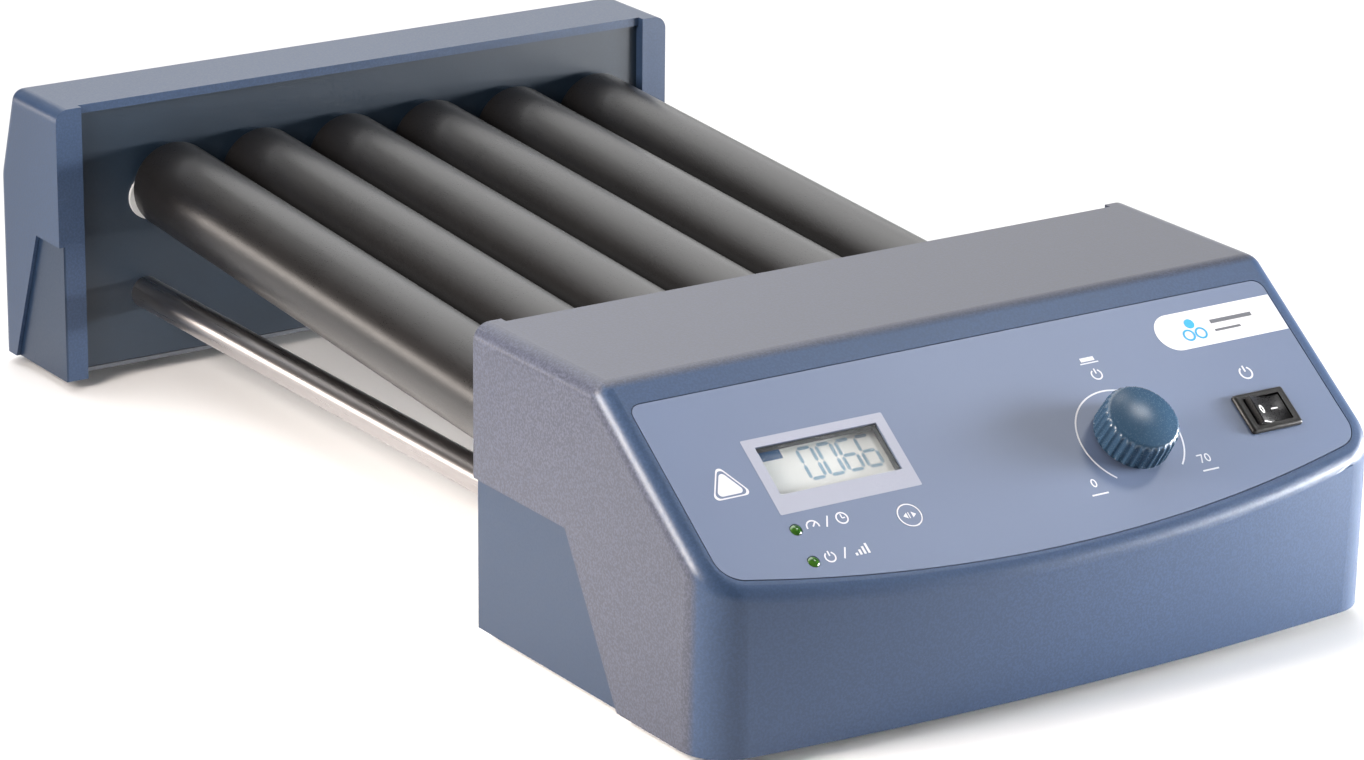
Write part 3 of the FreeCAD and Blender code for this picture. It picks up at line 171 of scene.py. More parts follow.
def housing_plastic():
    """Moulded plastic with a fine spark-eroded grain; the side recesses are smoother and painted
    darker for shade.
    """
    finish = Finish("housing_plastic", Roughness=0.38, Specular_IOR_Level=0.38,
                    Sheen_Weight=0.03, Sheen_Roughness=0.35)
    cloud = finish.noise(14, 3)
    grain = finish.noise(GRAIN, 2, 0.6)
    tone = finish.mix(finish.spread(cloud, 0, 1), HOUSING_BLUE, shade(HOUSING_BLUE, 1.1))
    speckle = finish.mix(finish.spread(grain, 0, 1, 0.42, 0.62), shade(HOUSING_BLUE, 0.86), tone)
    axes = finish.node("ShaderNodeSeparateXYZ", {0: finish.place})
    reach = finish.maths("ABSOLUTE", axes.outputs[0])
    inside = finish.maths("LESS_THAN", reach, RECESS_SIDE)
    low = finish.maths("LESS_THAN", axes.outputs[2], RECESS_TOP)
    outer = finish.maths("GREATER_THAN", reach, RECESS_MIN)
    # the same reach is met again on the round corners, which the two y limits leave out
    ahead = finish.maths("GREATER_THAN", axes.outputs[1], RECESS_FRONT)
    behind = finish.maths("LESS_THAN", axes.outputs[1], RECESS_REAR)
    recess_area = 1.0
    for mask in (inside, low, outer, ahead, behind):
        recess_area = finish.maths("MULTIPLY", mask, recess_area)
    # painted sheen: the head's top and sides get a coarser grain in a paler, greyer colour than its
    # front, for the lights' sheen
    top = finish.spread(axes.outputs[2], 0, 1, TOP - 1.6 * MM, TOP - 0.4 * MM)
    side = finish.spread(reach, 0, 1, SIDE - 1.2 * MM, SIDE - 0.3 * MM)
    corner = finish.spread(finish.maths("ADD", axes.outputs[2], reach), 0, 1,
                           CORNER_START, CORNER_END)
    head = finish.maths("LESS_THAN", axes.outputs[1], 0.0)
    flat = finish.maths("MAXIMUM", top, side)
    sheen_faces = finish.maths("MULTIPLY", finish.maths("MAXIMUM", flat, corner), head)
    grain_and_sheen = finish.mix(finish.spread(grain, 0, 1, 0.42, 0.62), shade(GRAIN_AND_SHEEN_GREY, 0.75),
                         shade(GRAIN_AND_SHEEN_GREY, 1.25))
    skin = finish.mix(sheen_faces, speckle, grain_and_sheen)
    # painted shade: the side recesses are coloured a darker blue than the housing round them
    finish.set("Base Color", finish.mix(recess_area, skin, RECESS_SHADE_BLUE))
    depth = finish.maths("MULTIPLY", grain, finish.maths("SUBTRACT", 1.0, recess_area))
    plain = finish.spread(grain, 0.33, 0.43)
    finish.set("Roughness", finish.maths("SUBTRACT", plain, finish.spread(recess_area, 0, 0.05, 0, 1)))
    finish.bump(depth, 0.5, 0.06 * MM)
    return finish.material


def overlay_film():
    """Printed polycarbonate film, satin, with a barely visible orange peel."""
    base = colour(0.103, 0.135, 0.216)
    finish = Finish("overlay_film", Roughness=0.34)
    cloud = finish.noise(11, 2)
    finish.set("Base Color", finish.mix(finish.spread(cloud, 0, 1), shade(base, 0.97),
                                        shade(base, 1.03)))
    fine = finish.noise(2600, 1)
    finish.set("Roughness", finish.spread(fine, 0.30, 0.38))
    finish.bump(fine, 0.12, 0.02 * MM)
    return finish.material


def plain_finish(name, base, rough, grain=900, change=0.08, metal=0.0, depth=0.03,
                 stretch=(1, 1, 1), **fixed):
    """A finish with a little tone, roughness and relief, which most small parts share."""
    finish = Finish(name, Metallic=metal, Roughness=rough, **fixed)
    cloud = finish.noise(60, 2)
    fine = finish.noise(grain, 2, 0.55, stretch)
    tone = finish.mix(finish.spread(cloud, 0, 1), shade(base, 1 - change), shade(base, 1 + change))
    finish.set("Base Color", finish.mix(finish.spread(fine, 0, 1), tone, shade(base, 1 - change)))
    finish.set("Roughness", finish.spread(fine, rough * 0.85, rough * 1.15))
    finish.bump(fine, 0.3, depth * MM)
    return finish.material


def roller_rubber():
    """Black rubber with a fine ground texture and faint rub marks round it."""
    base = colour(0.0075, 0.0068, 0.0068)
    finish = Finish("roller_rubber", Roughness=0.32)
    speckle = finish.noise(1900, 2, 0.7)
    rub = finish.noise(20, 2, 0.5, (1, 3, 1))
    tone = finish.mix(finish.spread(rub, 0, 1), base, shade(base, 1.15))
    finish.set("Base Color", finish.mix(finish.spread(speckle, 0, 1, 0.55, 0.8), tone,
                                        shade(base, 2.6)))
    finish.set("Roughness", finish.maths("ADD", finish.spread(speckle, 0.27, 0.36),
                                         finish.spread(rub, -0.01, 0.01)))
    finish.bump(speckle, 0.35, 0.04 * MM)
    return finish.material


def rod_steel():
    """Ground and polished bar with faint drawing lines along it."""
    finish = Finish("rod_steel", Metallic=1.0, Roughness=0.2)
    lines = finish.noise(1400, 2, 0.6, (1, 0.02, 1))
    stain = finish.noise(12, 2)
    finish.set("Base Color", finish.mix(finish.spread(stain, 0, 1), colour(0.40, 0.375, 0.37),
                                        colour(0.46, 0.435, 0.43)))
    finish.set("Roughness", finish.spread(lines, 0.27, 0.31))
    return finish.material


def window_film():
    finish = Finish("window_film", Roughness=0.08, Alpha=0.10)
    smear = finish.noise(90, 2)
    finish.set("Roughness", finish.spread(smear, 0.05, 0.12))
    finish.set("Base Color", finish.mix(finish.spread(smear, 0, 1), colour(0.05, 0.055, 0.06),
                                        colour(0.07, 0.075, 0.08)))
    return finish.material


def lens_green():
    finish = Finish("lens_green", Roughness=0.12, Subsurface_Weight=0.0, Coat_Weight=0.6)
    deep = finish.noise(500, 1)
    finish.set("Base Color", finish.mix(finish.spread(deep, 0, 1), colour(0.012, 0.055, 0.006),
                                        colour(0.040, 0.13, 0.012)))
    return finish.material


def knob_plastic():
    """Dark blue-green satin plastic with a soft sheen."""
    base = colour(0.028, 0.062, 0.108)
    finish = Finish("knob_plastic", Roughness=0.3)
    fine = finish.noise(2200, 2, 0.6)
    cloud = finish.noise(40, 2)
    finish.set("Base Color", finish.mix(finish.spread(cloud, 0, 1), shade(base, 0.92),
                                        shade(base, 1.1)))
    finish.set("Roughness", finish.spread(fine, 0.22, 0.29))
    finish.bump(fine, 0.15, 0.02 * MM)
    return finish.material


MATERIALS = {
    "housing": housing_plastic(),
    "plate": plain_finish("plate_plastic", colour(0.014, 0.026, 0.044), 0.36),
    "base_sheet": plain_finish("base_sheet", colour(0.10, 0.11, 0.13), 0.5, 700),
    "rod_steel": rod_steel(),
    "fastener": plain_finish("fastener_steel", colour(0.56, 0.56, 0.57), 0.3, 2500, 0.05, 1.0),
    "foot_rubber": plain_finish("foot_rubber", colour(0.022, 0.022, 0.023), 0.75, 1400, 0.15),
    "roller_rubber": roller_rubber(),
    "tube_metal": plain_finish("tube_aluminium", colour(0.70, 0.70, 0.72), 0.35, 1200, 0.04, 1.0,
                               0.02, (1, 0.05, 1)),
    "bush": plain_finish("bush_nylon", colour(0.56, 0.58, 0.59), 0.4, 1000, 0.04),
    "gear_plastic": plain_finish("gear_acetal", colour(0.80, 0.79, 0.74), 0.38, 1200, 0.03),
    "gearbox_metal": plain_finish("gearbox_zinc", colour(0.58, 0.58, 0.60), 0.42, 900, 0.06, 1.0),
    "motor_metal": plain_finish("motor_steel", colour(0.42, 0.42, 0.44), 0.34, 1500, 0.05, 1.0,
                                0.02, (1, 0.1, 1)),
    "overlay": overlay_film(),
    "clear_window": window_film(),
    "display": plain_finish("display_bezel", colour(0.40, 0.42, 0.42), 0.3),
    "circuit_board": plain_finish("circuit_board", colour(0.018, 0.15, 0.065), 0.35, 400, 0.12),
    "indicator": lens_green(),
    "encoder_metal": plain_finish("encoder_steel", colour(0.50, 0.50, 0.52), 0.3, 1500, 0.05, 1.0),
    "knob": knob_plastic(),
    "switch_black": plain_finish("switch_black", colour(0.013, 0.013, 0.014), 0.3, 1800, 0.1,
                                 depth=0.008, Specular_IOR_Level=0.3),
}
BEZEL_GREY = plain_finish("switch_bezel_grey", colour(0.014, 0.0135, 0.0135), 0.36, 2000, 0.1,
                          depth=0.01, Specular_IOR_Level=0.3)
PRINT_WHITE = plain_finish("print_white", colour(0.58, 0.59, 0.63), 0.45, 1500, 0.02)
PRINT_FRAME = plain_finish("print_frame", colour(0.29, 0.305, 0.37), 0.42, 1500, 0.02)
PRINT_BADGE = plain_finish("print_badge", colour(0.60, 0.60, 0.625), 0.35, 1500, 0.015)
PRINT_BLUE = plain_finish("print_blue", colour(0.02, 0.30, 0.55), 0.4, 1500, 0.03)
PRINT_GREY = plain_finish("print_grey", colour(0.10, 0.105, 0.12), 0.4, 1500, 0.03)
LCD_GLASS = plain_finish("lcd_glass", colour(0.60, 0.63, 0.62), 0.22, 300, 0.02)
LCD_SEGMENT = plain_finish("lcd_segment", colour(0.18, 0.30, 0.39), 0.3, 600, 0.05)
LCD_TAG = plain_finish("lcd_tag", colour(0.010, 0.085, 0.22), 0.3, 600, 0.05)
# painted shade: near-black lining for the display window's walls
WINDOW_WALL_SHADE = plain_finish("lcd_gasket", colour(0.010, 0.014, 0.016), 0.5, 900, 0.05)
SWITCH_MARK = plain_finish("switch_mark", colour(0.80, 0.80, 0.80), 0.4, 1500, 0.02)


def dress_nodes():
    """Give every CAD node the finish of its slot."""
    slots = {entry["slot"] for entry in frame["record"]["materials"]}
    for name, node in NODES.items():
        for index, old in enumerate(node.data.materials):
            slot = old.name.split(".")[0]
            if slot not in slots:
                raise RuntimeError("%s has an unknown slot %s" % (name, slot))
            node.data.materials[index] = MATERIALS[slot]


# ---------------------------------------------------------------- mesh helpers

def add_piece(name, mesh, material, body):
    piece = bpy.data.objects.new(name, mesh)
    bpy.context.scene.collection.objects.link(piece)
    mesh.materials.append(material)
    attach(piece, body)
    return piece


def smooth_by_angle(mesh, degrees):
    mesh.shade_smooth()
    mesh.set_sharp_from_angle(angle=math.radians(degrees))


def arc_points(centre, radius, start, end, steps):
    """Points on a circle from one angle to another, in radians, anticlockwise."""
    turns = [start + (end - start) * step / steps for step in range(steps + 1)]
    return [(centre[0] + radius * math.cos(t), centre[1] + radius * math.sin(t)) for t in turns]


def rounded_rectangle(centre, width, height, radius, steps=5):
    loop = []
    for index, (side, up) in enumerate(((1, 1), (-1, 1), (-1, -1), (1, -1))):
        corner = (centre[0] + side * (width / 2 - radius), centre[1] + up * (height / 2 - radius))
        start = index * math.pi / 2
        loop += arc_points(corner, radius, start, start + math.pi / 2, steps)
    return loop


def ring_mesh(name, loops, place, degrees=35, cap_first=True, cap_last=True):
    """Skin over closed loops of equal length; each loop is a list of (x, y, z)."""
    shape = bmesh.new()
    rings = [[shape.verts.new(place @ Vector(point)) for point in loop] for loop in loops]
    count = len(rings[0])
    for lower, upper in zip(rings, rings[1:]):
        for index in range(count):
            after = (index + 1) % count
            shape.faces.new((lower[index], lower[after], upper[after], upper[index]))
    if cap_first:
        shape.faces.new(list(reversed(rings[0])))
    if cap_last:
        shape.faces.new(rings[-1])
    bmesh.ops.recalc_face_normals(shape, faces=shape.faces)
    mesh = bpy.data.meshes.new(name)
    shape.to_mesh(mesh)
    shape.free()
    smooth_by_angle(mesh, degrees)
    return mesh


# ---------------------------------------------------------------- printed marks

PRINT_LOW = 0.004
PRINT_HIGH = 0.05


class Print:
    """Flat marks in the panel's frame, gathered into one thin mesh."""

    def __init__(self, name, material, body="base", slot="overlay", low=PRINT_LOW,
                 high=PRINT_HIGH, place=PANEL):
        self.name = name
        self.material = material
        self.body = body
        self.slot = slot
        self.low = low
        self.high = high
        self.place = place
        self.shape = bmesh.new()

    def skin(self, outer, inner=None):
        """A thin plate inside one loop, or between two loops of equal length."""
        levels = []
        for loop in (outer, inner):
            if loop:
                levels.append([[self.shape.verts.new(self.place @ Vector((x, y, z)))
                                for x, y in loop] for z in (self.low, self.high)])
        bottom, top = levels[0]
        count = len(bottom)
        for index in range(count):
            after = (index + 1) % count
            self.shape.faces.new((bottom[index], bottom[after], top[after], top[index]))
            if inner:
                hole_low, hole_top = levels[1]
                self.shape.faces.new((top[index], top[after], hole_top[after], hole_top[index]))
                self.shape.faces.new((hole_low[index], hole_low[after], bottom[after],
                                      bottom[index]))
                self.shape.faces.new((hole_top[index], hole_top[after], hole_low[after],
                                      hole_low[index]))
        if not inner:
            self.shape.faces.new(top)
            self.shape.faces.new(list(reversed(bottom)))
        return self

    def ring(self, centre, radius, width, steps=64):
        outer = arc_points(centre, radius + width / 2, 0, TAU, steps)[:-1]
        inner = arc_points(centre, radius - width / 2, 0, TAU, steps)[:-1]
        return self.skin(outer, inner)

    def disc(self, centre, radius, steps=32):
        return self.skin(arc_points(centre, radius, 0, TAU, steps)[:-1])

    def arc(self, centre, radius, width, start, end, steps=48):
        outer = arc_points(centre, radius + width / 2, start, end, steps)
        inner = arc_points(centre, radius - width / 2, start, end, steps)
        for index in range(steps):
            self.skin([outer[index], outer[index + 1], inner[index + 1], inner[index]])
        return self

    def bar(self, start, end, width):
        """A straight stroke."""
        along = Vector(end) - Vector(start)
        side = Vector((-along.y, along.x)).normalized() * width / 2
        first = Vector(start)
        last = Vector(end)
        corners = (first - side, last - side, last + side, first + side)
        return self.skin([tuple(corner) for corner in corners])

    def finish(self):
        bmesh.ops.recalc_face_normals(self.shape, faces=self.shape.faces)
        mesh = bpy.data.meshes.new(self.name)
        self.shape.to_mesh(mesh)
        self.shape.free()
        return add_piece(self.name, mesh, self.material, self.body)


def printed_frame():
    """Pale frame round the display window, wider below it."""
    marks = Print("display_frame_print", PRINT_FRAME)
    width, height = WINDOW_SIZE
    outer = rounded_rectangle((WINDOW[0] - 0.1, -44.9), 53.4, 28.8, 0.5)
    inner = rounded_rectangle(WINDOW, width - 0.1, height - 0.1, 0.3)
    marks.skin(outer, inner)
    marks.finish()


def power_symbol(marks, centre, radius, width):
    """A broken ring with a short upright bar."""
    open_half = math.radians(32)
    top = math.pi / 2
    marks.arc(centre, radius, width, top + open_half, top - open_half + TAU, 28)
    marks.bar((centre[0], centre[1] + radius * 0.2), (centre[0], centre[1] + radius * 1.25), width)


def triangle_loop(centre, reach, radius, steps=5):
    """A rounded triangle that points up."""
    loop = []
    for index in range(3):
        out = math.pi / 2 + index * TAU / 3
        corner = (centre[0] + reach * math.cos(out), centre[1] + reach * math.sin(out))
        loop += arc_points(corner, radius, out - math.pi / 3, out + math.pi / 3, steps)
    return loop


def printed_symbols():
    """White marks: triangle, pictograms beside the lights, scale, push and power marks."""
    marks = Print("panel_symbols_print", PRINT_WHITE)
    centre = (-106.4, -45.4)
    marks.skin(triangle_loop(centre, 5.5, 1.5), triangle_loop(centre, 4.6, 1.5))
    marks.skin(triangle_loop(centre, 3.6, 1.3))
    # beside the upper light: a dial and a clock; beside the lower one: power and a load bar
    stroke = 0.5
    for down, kinds in ((LIGHT_Y[0] + 0.6, ("dial", "slash", "clock")),
                        (LIGHT_Y[1] + 0.6, ("power", "slash", "load"))):
        for index, kind in enumerate(kinds):
            x = LIGHT_X + 6.3 + index * 5.6
            if kind == "dial":
                marks.arc((x, down - 0.8), 2.2, stroke, math.radians(-10), math.radians(190), 20)
                marks.bar((x, down - 0.8), (x + 1.3, down + 0.6), stroke)
            elif kind == "slash":
                marks.bar((x - 1.0, down - 1.9), (x + 1.0, down + 1.9), stroke)
            elif kind == "clock":
                marks.ring((x, down), 2.0, stroke, 28)
                marks.bar((x, down), (x, down + 1.5), 0.4)
                marks.bar((x, down), (x + 1.1, down), 0.4)
            elif kind == "power":
                power_symbol(marks, (x, down - 0.3), 1.8, stroke)
            else:
                for step in range(4):
                    bar_x = x - 1.8 + step * 1.5
                    marks.bar((bar_x, down - 1.9), (bar_x, down - 0.9 + step * 0.9), 0.8)
    # the speed scale, open at its bottom, with 0 and 70 at its ends
    marks.arc(KNOB, 18.9, 0.55, math.radians(-47), math.radians(225.5), 72)
    digit_zero(marks, (18.9, -72.2))
    digit_seven(marks, (62.2, -72.0))
    digit_zero(marks, (64.9, -72.0))
    for x in (19.0, 63.6):
        marks.bar((x - 3.2, -76.6), (x + 3.2, -76.6), 0.55)
    # push mark: a key cap on its base, and the on-off symbol
    marks.bar((40.2, -26.9), (45.6, -26.9), 1.5)
    marks.bar((39.4, -28.4), (46.6, -28.4), 0.4)
    power_symbol(marks, (43.2, -33.2), 1.9, 0.5)
    power_symbol(marks, (98.0, -44.2), 2.3, 0.6)
    marks.finish()


def digit_zero(marks, centre):
    outer = [(centre[0] + 1.05 * math.cos(t), centre[1] + 1.6 * math.sin(t))
             for t in [TAU * step / 28 for step in range(28)]]
    inner = [(centre[0] + 0.6 * math.cos(t), centre[1] + 1.15 * math.sin(t))
             for t in [TAU * step / 28 for step in range(28)]]
    marks.skin(outer, inner)


def digit_seven(marks, centre):
    x, y = centre
    marks.bar((x - 1.1, y + 1.4), (x + 1.1, y + 1.4), 0.45)
    marks.bar((x + 0.95, y + 1.4), (x - 0.3, y - 1.6), 0.45)


BADGE_LOW = -31.0
BADGE_HIGH = -16.5
BADGE_LEFT = 73.5
BADGE_RIGHT = 124.3
BADGE_PRINT_LOW = PRINT_HIGH + 0.004
BADGE_PRINT_HIGH = PRINT_HIGH + 0.08


def printed_badge():
    """A white half capsule that runs to the overlay's edge, with a plain pictogram."""
    radius = (BADGE_HIGH - BADGE_LOW) / 2
    centre = (BADGE_LEFT + radius, BADGE_LOW + radius)
    badge = Print("badge_print", PRINT_BADGE)
    badge.skin(arc_points(centre, radius, math.pi / 2, 3 * math.pi / 2, 28)
               + [(BADGE_RIGHT, BADGE_LOW), (BADGE_RIGHT, BADGE_HIGH)])
    badge.finish()
    # a tube resting on two rollers, then two lines
    picture = Print("badge_pictogram_print", PRINT_BLUE, low=BADGE_PRINT_LOW, high=BADGE_PRINT_HIGH)
    roller_x = (85.6, 90.6)
    for x in roller_x:
        picture.ring((x, -25.9), 2.0, 0.7, 32)
    picture.disc((sum(roller_x) / 2, -21.6), 1.9)
    picture.finish()
    lines = Print("badge_lines_print", PRINT_GREY, low=BADGE_PRINT_LOW, high=BADGE_PRINT_HIGH)
    lines.bar((96.4, -22.4), (113.5, -22.4), 1.5)
    lines.bar((96.4, -26.0), (107.0, -26.0), 0.9)
    lines.finish()


def mode_marks():
    """The ring and a plain two-way mark on the mode button; they travel with it."""
    marks = Print("mode_button_print", PRINT_WHITE, "mode_button")
    marks.ring(MODE, MODE_RADIUS - 0.25, 0.42)
    x, y = MODE
    for side in (-1, 1):
        marks.skin([(x + side * 2.4, y), (x + side * 0.9, y + 1.1), (x + side * 0.9, y - 1.1)])
    marks.bar((x - 0.25, y - 1.1), (x - 0.25, y + 1.1), 0.3)
    marks.finish()


# ---------------------------------------------------------------- display

DIGIT_WIDTH = 5.3
DIGIT_HEIGHT = 11.6
DIGIT_STROKE = 1.25
SEGMENTS_OF = {"0": "abcdef", "6": "acdefg"}
READING = "0066"
FIRST_DIGIT = -71.8
DIGIT_PITCH = 7.3


def segment(marks, start, end):
    """A seven-segment stroke with pointed ends."""
    first = Vector(start)
    last = Vector(end)
    along = (last - first).normalized()
    side = Vector((-along.y, along.x)) * DIGIT_STROKE / 2
    inset = along * DIGIT_STROKE / 2
    marks.skin([tuple(p) for p in (first, first + inset - side, last - inset - side, last,
                                   last - inset + side, first + inset + side)])


def lcd():
    """The glass at the bottom of the window, with its reading and a blank tag, and a near-black
    ring painted round the window's walls for shade.
    """
    glass = Print("lcd_glass", LCD_GLASS, slot="display", low=LCD_DEPTH + 0.01,
                  high=LCD_DEPTH + 0.25)
    glass.skin(rounded_rectangle(WINDOW, WINDOW_SIZE[0] + 3, WINDOW_SIZE[1] + 3, 0.4))
    glass.finish()
    # painted shade: a near-black ring round the window's walls stands in for the shade in them
    wall_shade = Print("lcd_gasket", WINDOW_WALL_SHADE, slot="display", low=LCD_DEPTH + 0.26, high=-0.85)
    width, height = WINDOW_SIZE
    wall_shade.skin(rounded_rectangle(WINDOW, width + 0.55, height + 0.55, 0.3),
                rounded_rectangle(WINDOW, width - 0.9, height - 0.9, 0.3))
    wall_shade.finish()
    low = LCD_DEPTH + 0.255
    digits = Print("lcd_digits", LCD_SEGMENT, slot="display", low=low, high=low + 0.03)
    middle_y = WINDOW[1] + 1.6
    half = DIGIT_HEIGHT / 2
    gap = 0.25
    for index, figure in enumerate(READING):
        left = FIRST_DIGIT + index * DIGIT_PITCH - DIGIT_WIDTH / 2
        right = left + DIGIT_WIDTH
        ends = {
            "a": ((left + gap, middle_y + half), (right - gap, middle_y + half)),
            "b": ((right, middle_y + half - gap), (right, middle_y + gap)),
            "c": ((right, middle_y - gap), (right, middle_y - half + gap)),
            "d": ((left + gap, middle_y - half), (right - gap, middle_y - half)),
            "e": ((left, middle_y - gap), (left, middle_y - half + gap)),
            "f": ((left, middle_y + half - gap), (left, middle_y + gap)),
            "g": ((left + gap, middle_y), (right - gap, middle_y)),
        }
        for letter in SEGMENTS_OF[figure]:
            segment(digits, *ends[letter])
    digits.finish()
    tag = Print("lcd_tag", LCD_TAG, slot="display", low=low, high=low + 0.03)
    tag.skin(rounded_rectangle((-84.0, -35.6), 7.6, 4.0, 0.3))
    tag.finish()


# ---------------------------------------------------------------- knob

FLUTES = 30
SAMPLES_PER_FLUTE = 14
FLUTE_DEPTH = 0.62
FLUTE_END = KNOB_TOP - 2.3
RIM_ROUND = 2.4
RIM_TOP = KNOB_TOP - 0.5


def knob_profile():
    """(height, radius) up the knob: flared foot, tapered side, soft rim and shallow dome."""
    taper = 0.4
    profile = [(KNOB_GAP + 0.02, KNOB_RADIUS - 0.5), (KNOB_GAP + 0.1, KNOB_RADIUS - 0.1)]
    steps = 14
    side_top = RIM_TOP - RIM_ROUND
    for step in range(steps + 1):
        height = KNOB_GAP + 0.25 + (side_top - KNOB_GAP - 0.25) * step / steps
        profile.append((height, KNOB_RADIUS - taper * (height - KNOB_GAP) / KNOB_TOP))
    rim = profile[-1][1] - RIM_ROUND
    for step in range(1, 8):
        turn = math.pi / 2 * step / 8
        profile.append((side_top + RIM_ROUND * math.sin(turn), rim + RIM_ROUND * math.cos(turn)))
    dome_steps = 14
    for step in range(dome_steps):
        part = 1 - step / dome_steps
        profile.append((RIM_TOP + (KNOB_TOP + KNOB_DOME - RIM_TOP) * (1 - part * part), rim * part))
    return profile


def groove(height, turn):
    """Depth of a flute at a height and an angle: round grooves that run out below the rim."""
    phase = (turn * FLUTES / TAU) % 1.0
    across = abs(phase - 0.5) * 2
    cut = max(0.0, 1 - (across / 0.72) ** 2) ** 0.7
    fade = min(1.0, max(0.0, (FLUTE_END + 1.2 - height) / 1.2))
    return FLUTE_DEPTH * cut * math.sqrt(fade)


def knob():
    count = FLUTES * SAMPLES_PER_FLUTE
    loops = []
    for height, radius in knob_profile():
        loop = []
        for index in range(count):
            turn = TAU * index / count
            reach = radius
            if height > KNOB_GAP + 0.2:
                reach -= groove(height, turn)
            loop.append((KNOB[0] + reach * math.cos(turn), KNOB[1] + reach * math.sin(turn),
                         height))
        loops.append(loop)
    mesh = ring_mesh("speed_knob_moulding", loops, PANEL, 60)
    piece = add_piece("speed_knob_moulding", mesh, MATERIALS["knob"], "knob")
    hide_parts("speed_knob")


# ---------------------------------------------------------------- power switch

BEZEL = (20.8, 15.4)
WELL = (15.6, 11.4)
CASE = (19.0, 13.0)
CASE_LOW = -16.0
WELL_LOW = -9.0


def loop_at(centre, size, radius, height, steps=5):
    return [(x, y, height) for x, y in rounded_rectangle(centre, size[0], size[1], radius, steps)]


def switch_housing():
    """Case and bezel as one skin: up outside, over the bevelled rim and down the well."""
    def ring(size, shrink, radius, height):
        return loop_at(SWITCH, (size[0] - shrink, size[1] - shrink), radius, height)
    loops = [ring(CASE, 0, 0.4, CASE_LOW), ring(CASE, 0, 0.4, -0.3), ring(CASE, 0, 0.4, 0.03),
             ring(BEZEL, 0.3, 0.9, 0.03), ring(BEZEL, 0, 1.0, 0.2), ring(BEZEL, 0, 1.0, 0.5),
             ring(BEZEL, 0.25, 0.9, 0.95), ring(BEZEL, 0.8, 0.8, 1.3), ring(BEZEL, 1.5, 0.7, 1.5),
             ring(BEZEL, 2.4, 0.6, 1.58), ring(WELL, 0.7, 0.5, 1.5), ring(WELL, 0.25, 0.45, 1.3),
             ring(WELL, 0, 0.4, 1.0), ring(WELL, 0, 0.4, WELL_LOW)]
    mesh = ring_mesh("power_switch_bezel", loops, PANEL, 40)
    piece = add_piece("power_switch_bezel", mesh, BEZEL_GREY, "base")
    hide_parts("power_switch_housing")


ROCKER_HALF = 6.85
ROCKER_DEPTH = 10.8
ROCKER_ENDS = 4.4
ROCKER_DIP = 1.25


def rocker_top(x):
    """Height of the rocker's face: one long hollow from end to end."""
    return ROCKER_ENDS - ROCKER_DIP * (1 - (x / ROCKER_HALF) ** 2)


def rocker():
    """The paddle, drawn level round its pivot and tipped, with its two marks."""
    place = (PANEL @ Matrix.Translation((SWITCH[0], SWITCH[1], SWITCH_PIVOT))
             @ Matrix.Rotation(SWITCH_TILT, 4, "Y"))
    columns = 33
    edge = 0.45
    rows = [(-ROCKER_DEPTH / 2, 0.55), (-ROCKER_DEPTH / 2 + 0.16, 0.16),
            (-ROCKER_DEPTH / 2 + edge, 0.0), (ROCKER_DEPTH / 2 - edge, 0.0),
            (ROCKER_DEPTH / 2 - 0.16, 0.16), (ROCKER_DEPTH / 2, 0.55)]
    shape = bmesh.new()
    grid = []
    for y, drop in rows:
        line = []
        for column in range(columns):
            x = -ROCKER_HALF + 2 * ROCKER_HALF * column / (columns - 1)
            z = rocker_top(x) - drop
            if column in (0, columns - 1):
                z -= 0.4
            line.append(shape.verts.new(place @ Vector((x, y, z))))
        grid.append(line)
    for lower, upper in zip(grid, grid[1:]):
        for index in range(columns - 1):
            shape.faces.new((lower[index], lower[index + 1], upper[index + 1], upper[index]))
    # sides and the V-shaped underside
    under = [(-ROCKER_HALF, -1.5), (-2.5, -4.5), (2.5, -4.5), (ROCKER_HALF, -1.5)]
    feet = [[shape.verts.new(place @ Vector((x, y, z))) for x, z in under]
            for y in (rows[0][0], rows[-1][0])]
    for line, foot in ((grid[0], feet[0]), (grid[-1], feet[1])):
        shape.faces.new(line + list(reversed(foot)))
    for index in range(len(under) - 1):
        shape.faces.new((feet[0][index], feet[0][index + 1], feet[1][index + 1], feet[1][index]))
    for end in (0, -1):
        column = [line[end] for line in grid]
        shape.faces.new(column + [feet[1][end], feet[0][end]])
    bmesh.ops.recalc_face_normals(shape, faces=shape.faces)
    mesh = bpy.data.meshes.new("power_rocker_paddle")
    shape.to_mesh(mesh)
    shape.free()
    smooth_by_angle(mesh, 32)
    piece = add_piece("power_rocker_paddle", mesh, MATERIALS["switch_black"], "power_rocker")
    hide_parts("power_switch_rocker")
    for name, x, draw in (("rocker_off_mark", -3.6, "ring"), ("rocker_on_mark", 2.4, "bar")):
        top = rocker_top(x) + 0.02
        slope = math.atan((rocker_top(x + 0.1) - rocker_top(x - 0.1)) / 0.2)
        seat = place @ Matrix.Translation((x, 0, top)) @ Matrix.Rotation(-slope, 4, "Y")
        mark = Print(name, SWITCH_MARK, "power_rocker", "switch_black", 0.0, 0.05, seat)
        if draw == "ring":
            outer = [(1.05 * math.cos(t), 1.6 * math.sin(t))
                     for t in [TAU * step / 32 for step in range(32)]]
            inner = [(0.6 * math.cos(t), 1.1 * math.sin(t))
                     for t in [TAU * step / 32 for step in range(32)]]
            mark.skin(outer, inner)
        else:
            mark.bar((-1.4, 0), (1.4, 0), 0.5)
        mark.finish()


# ---------------------------------------------------------------- rollers

END_ROUND = 1.1 * MM
ROLLER_SIDES = 96


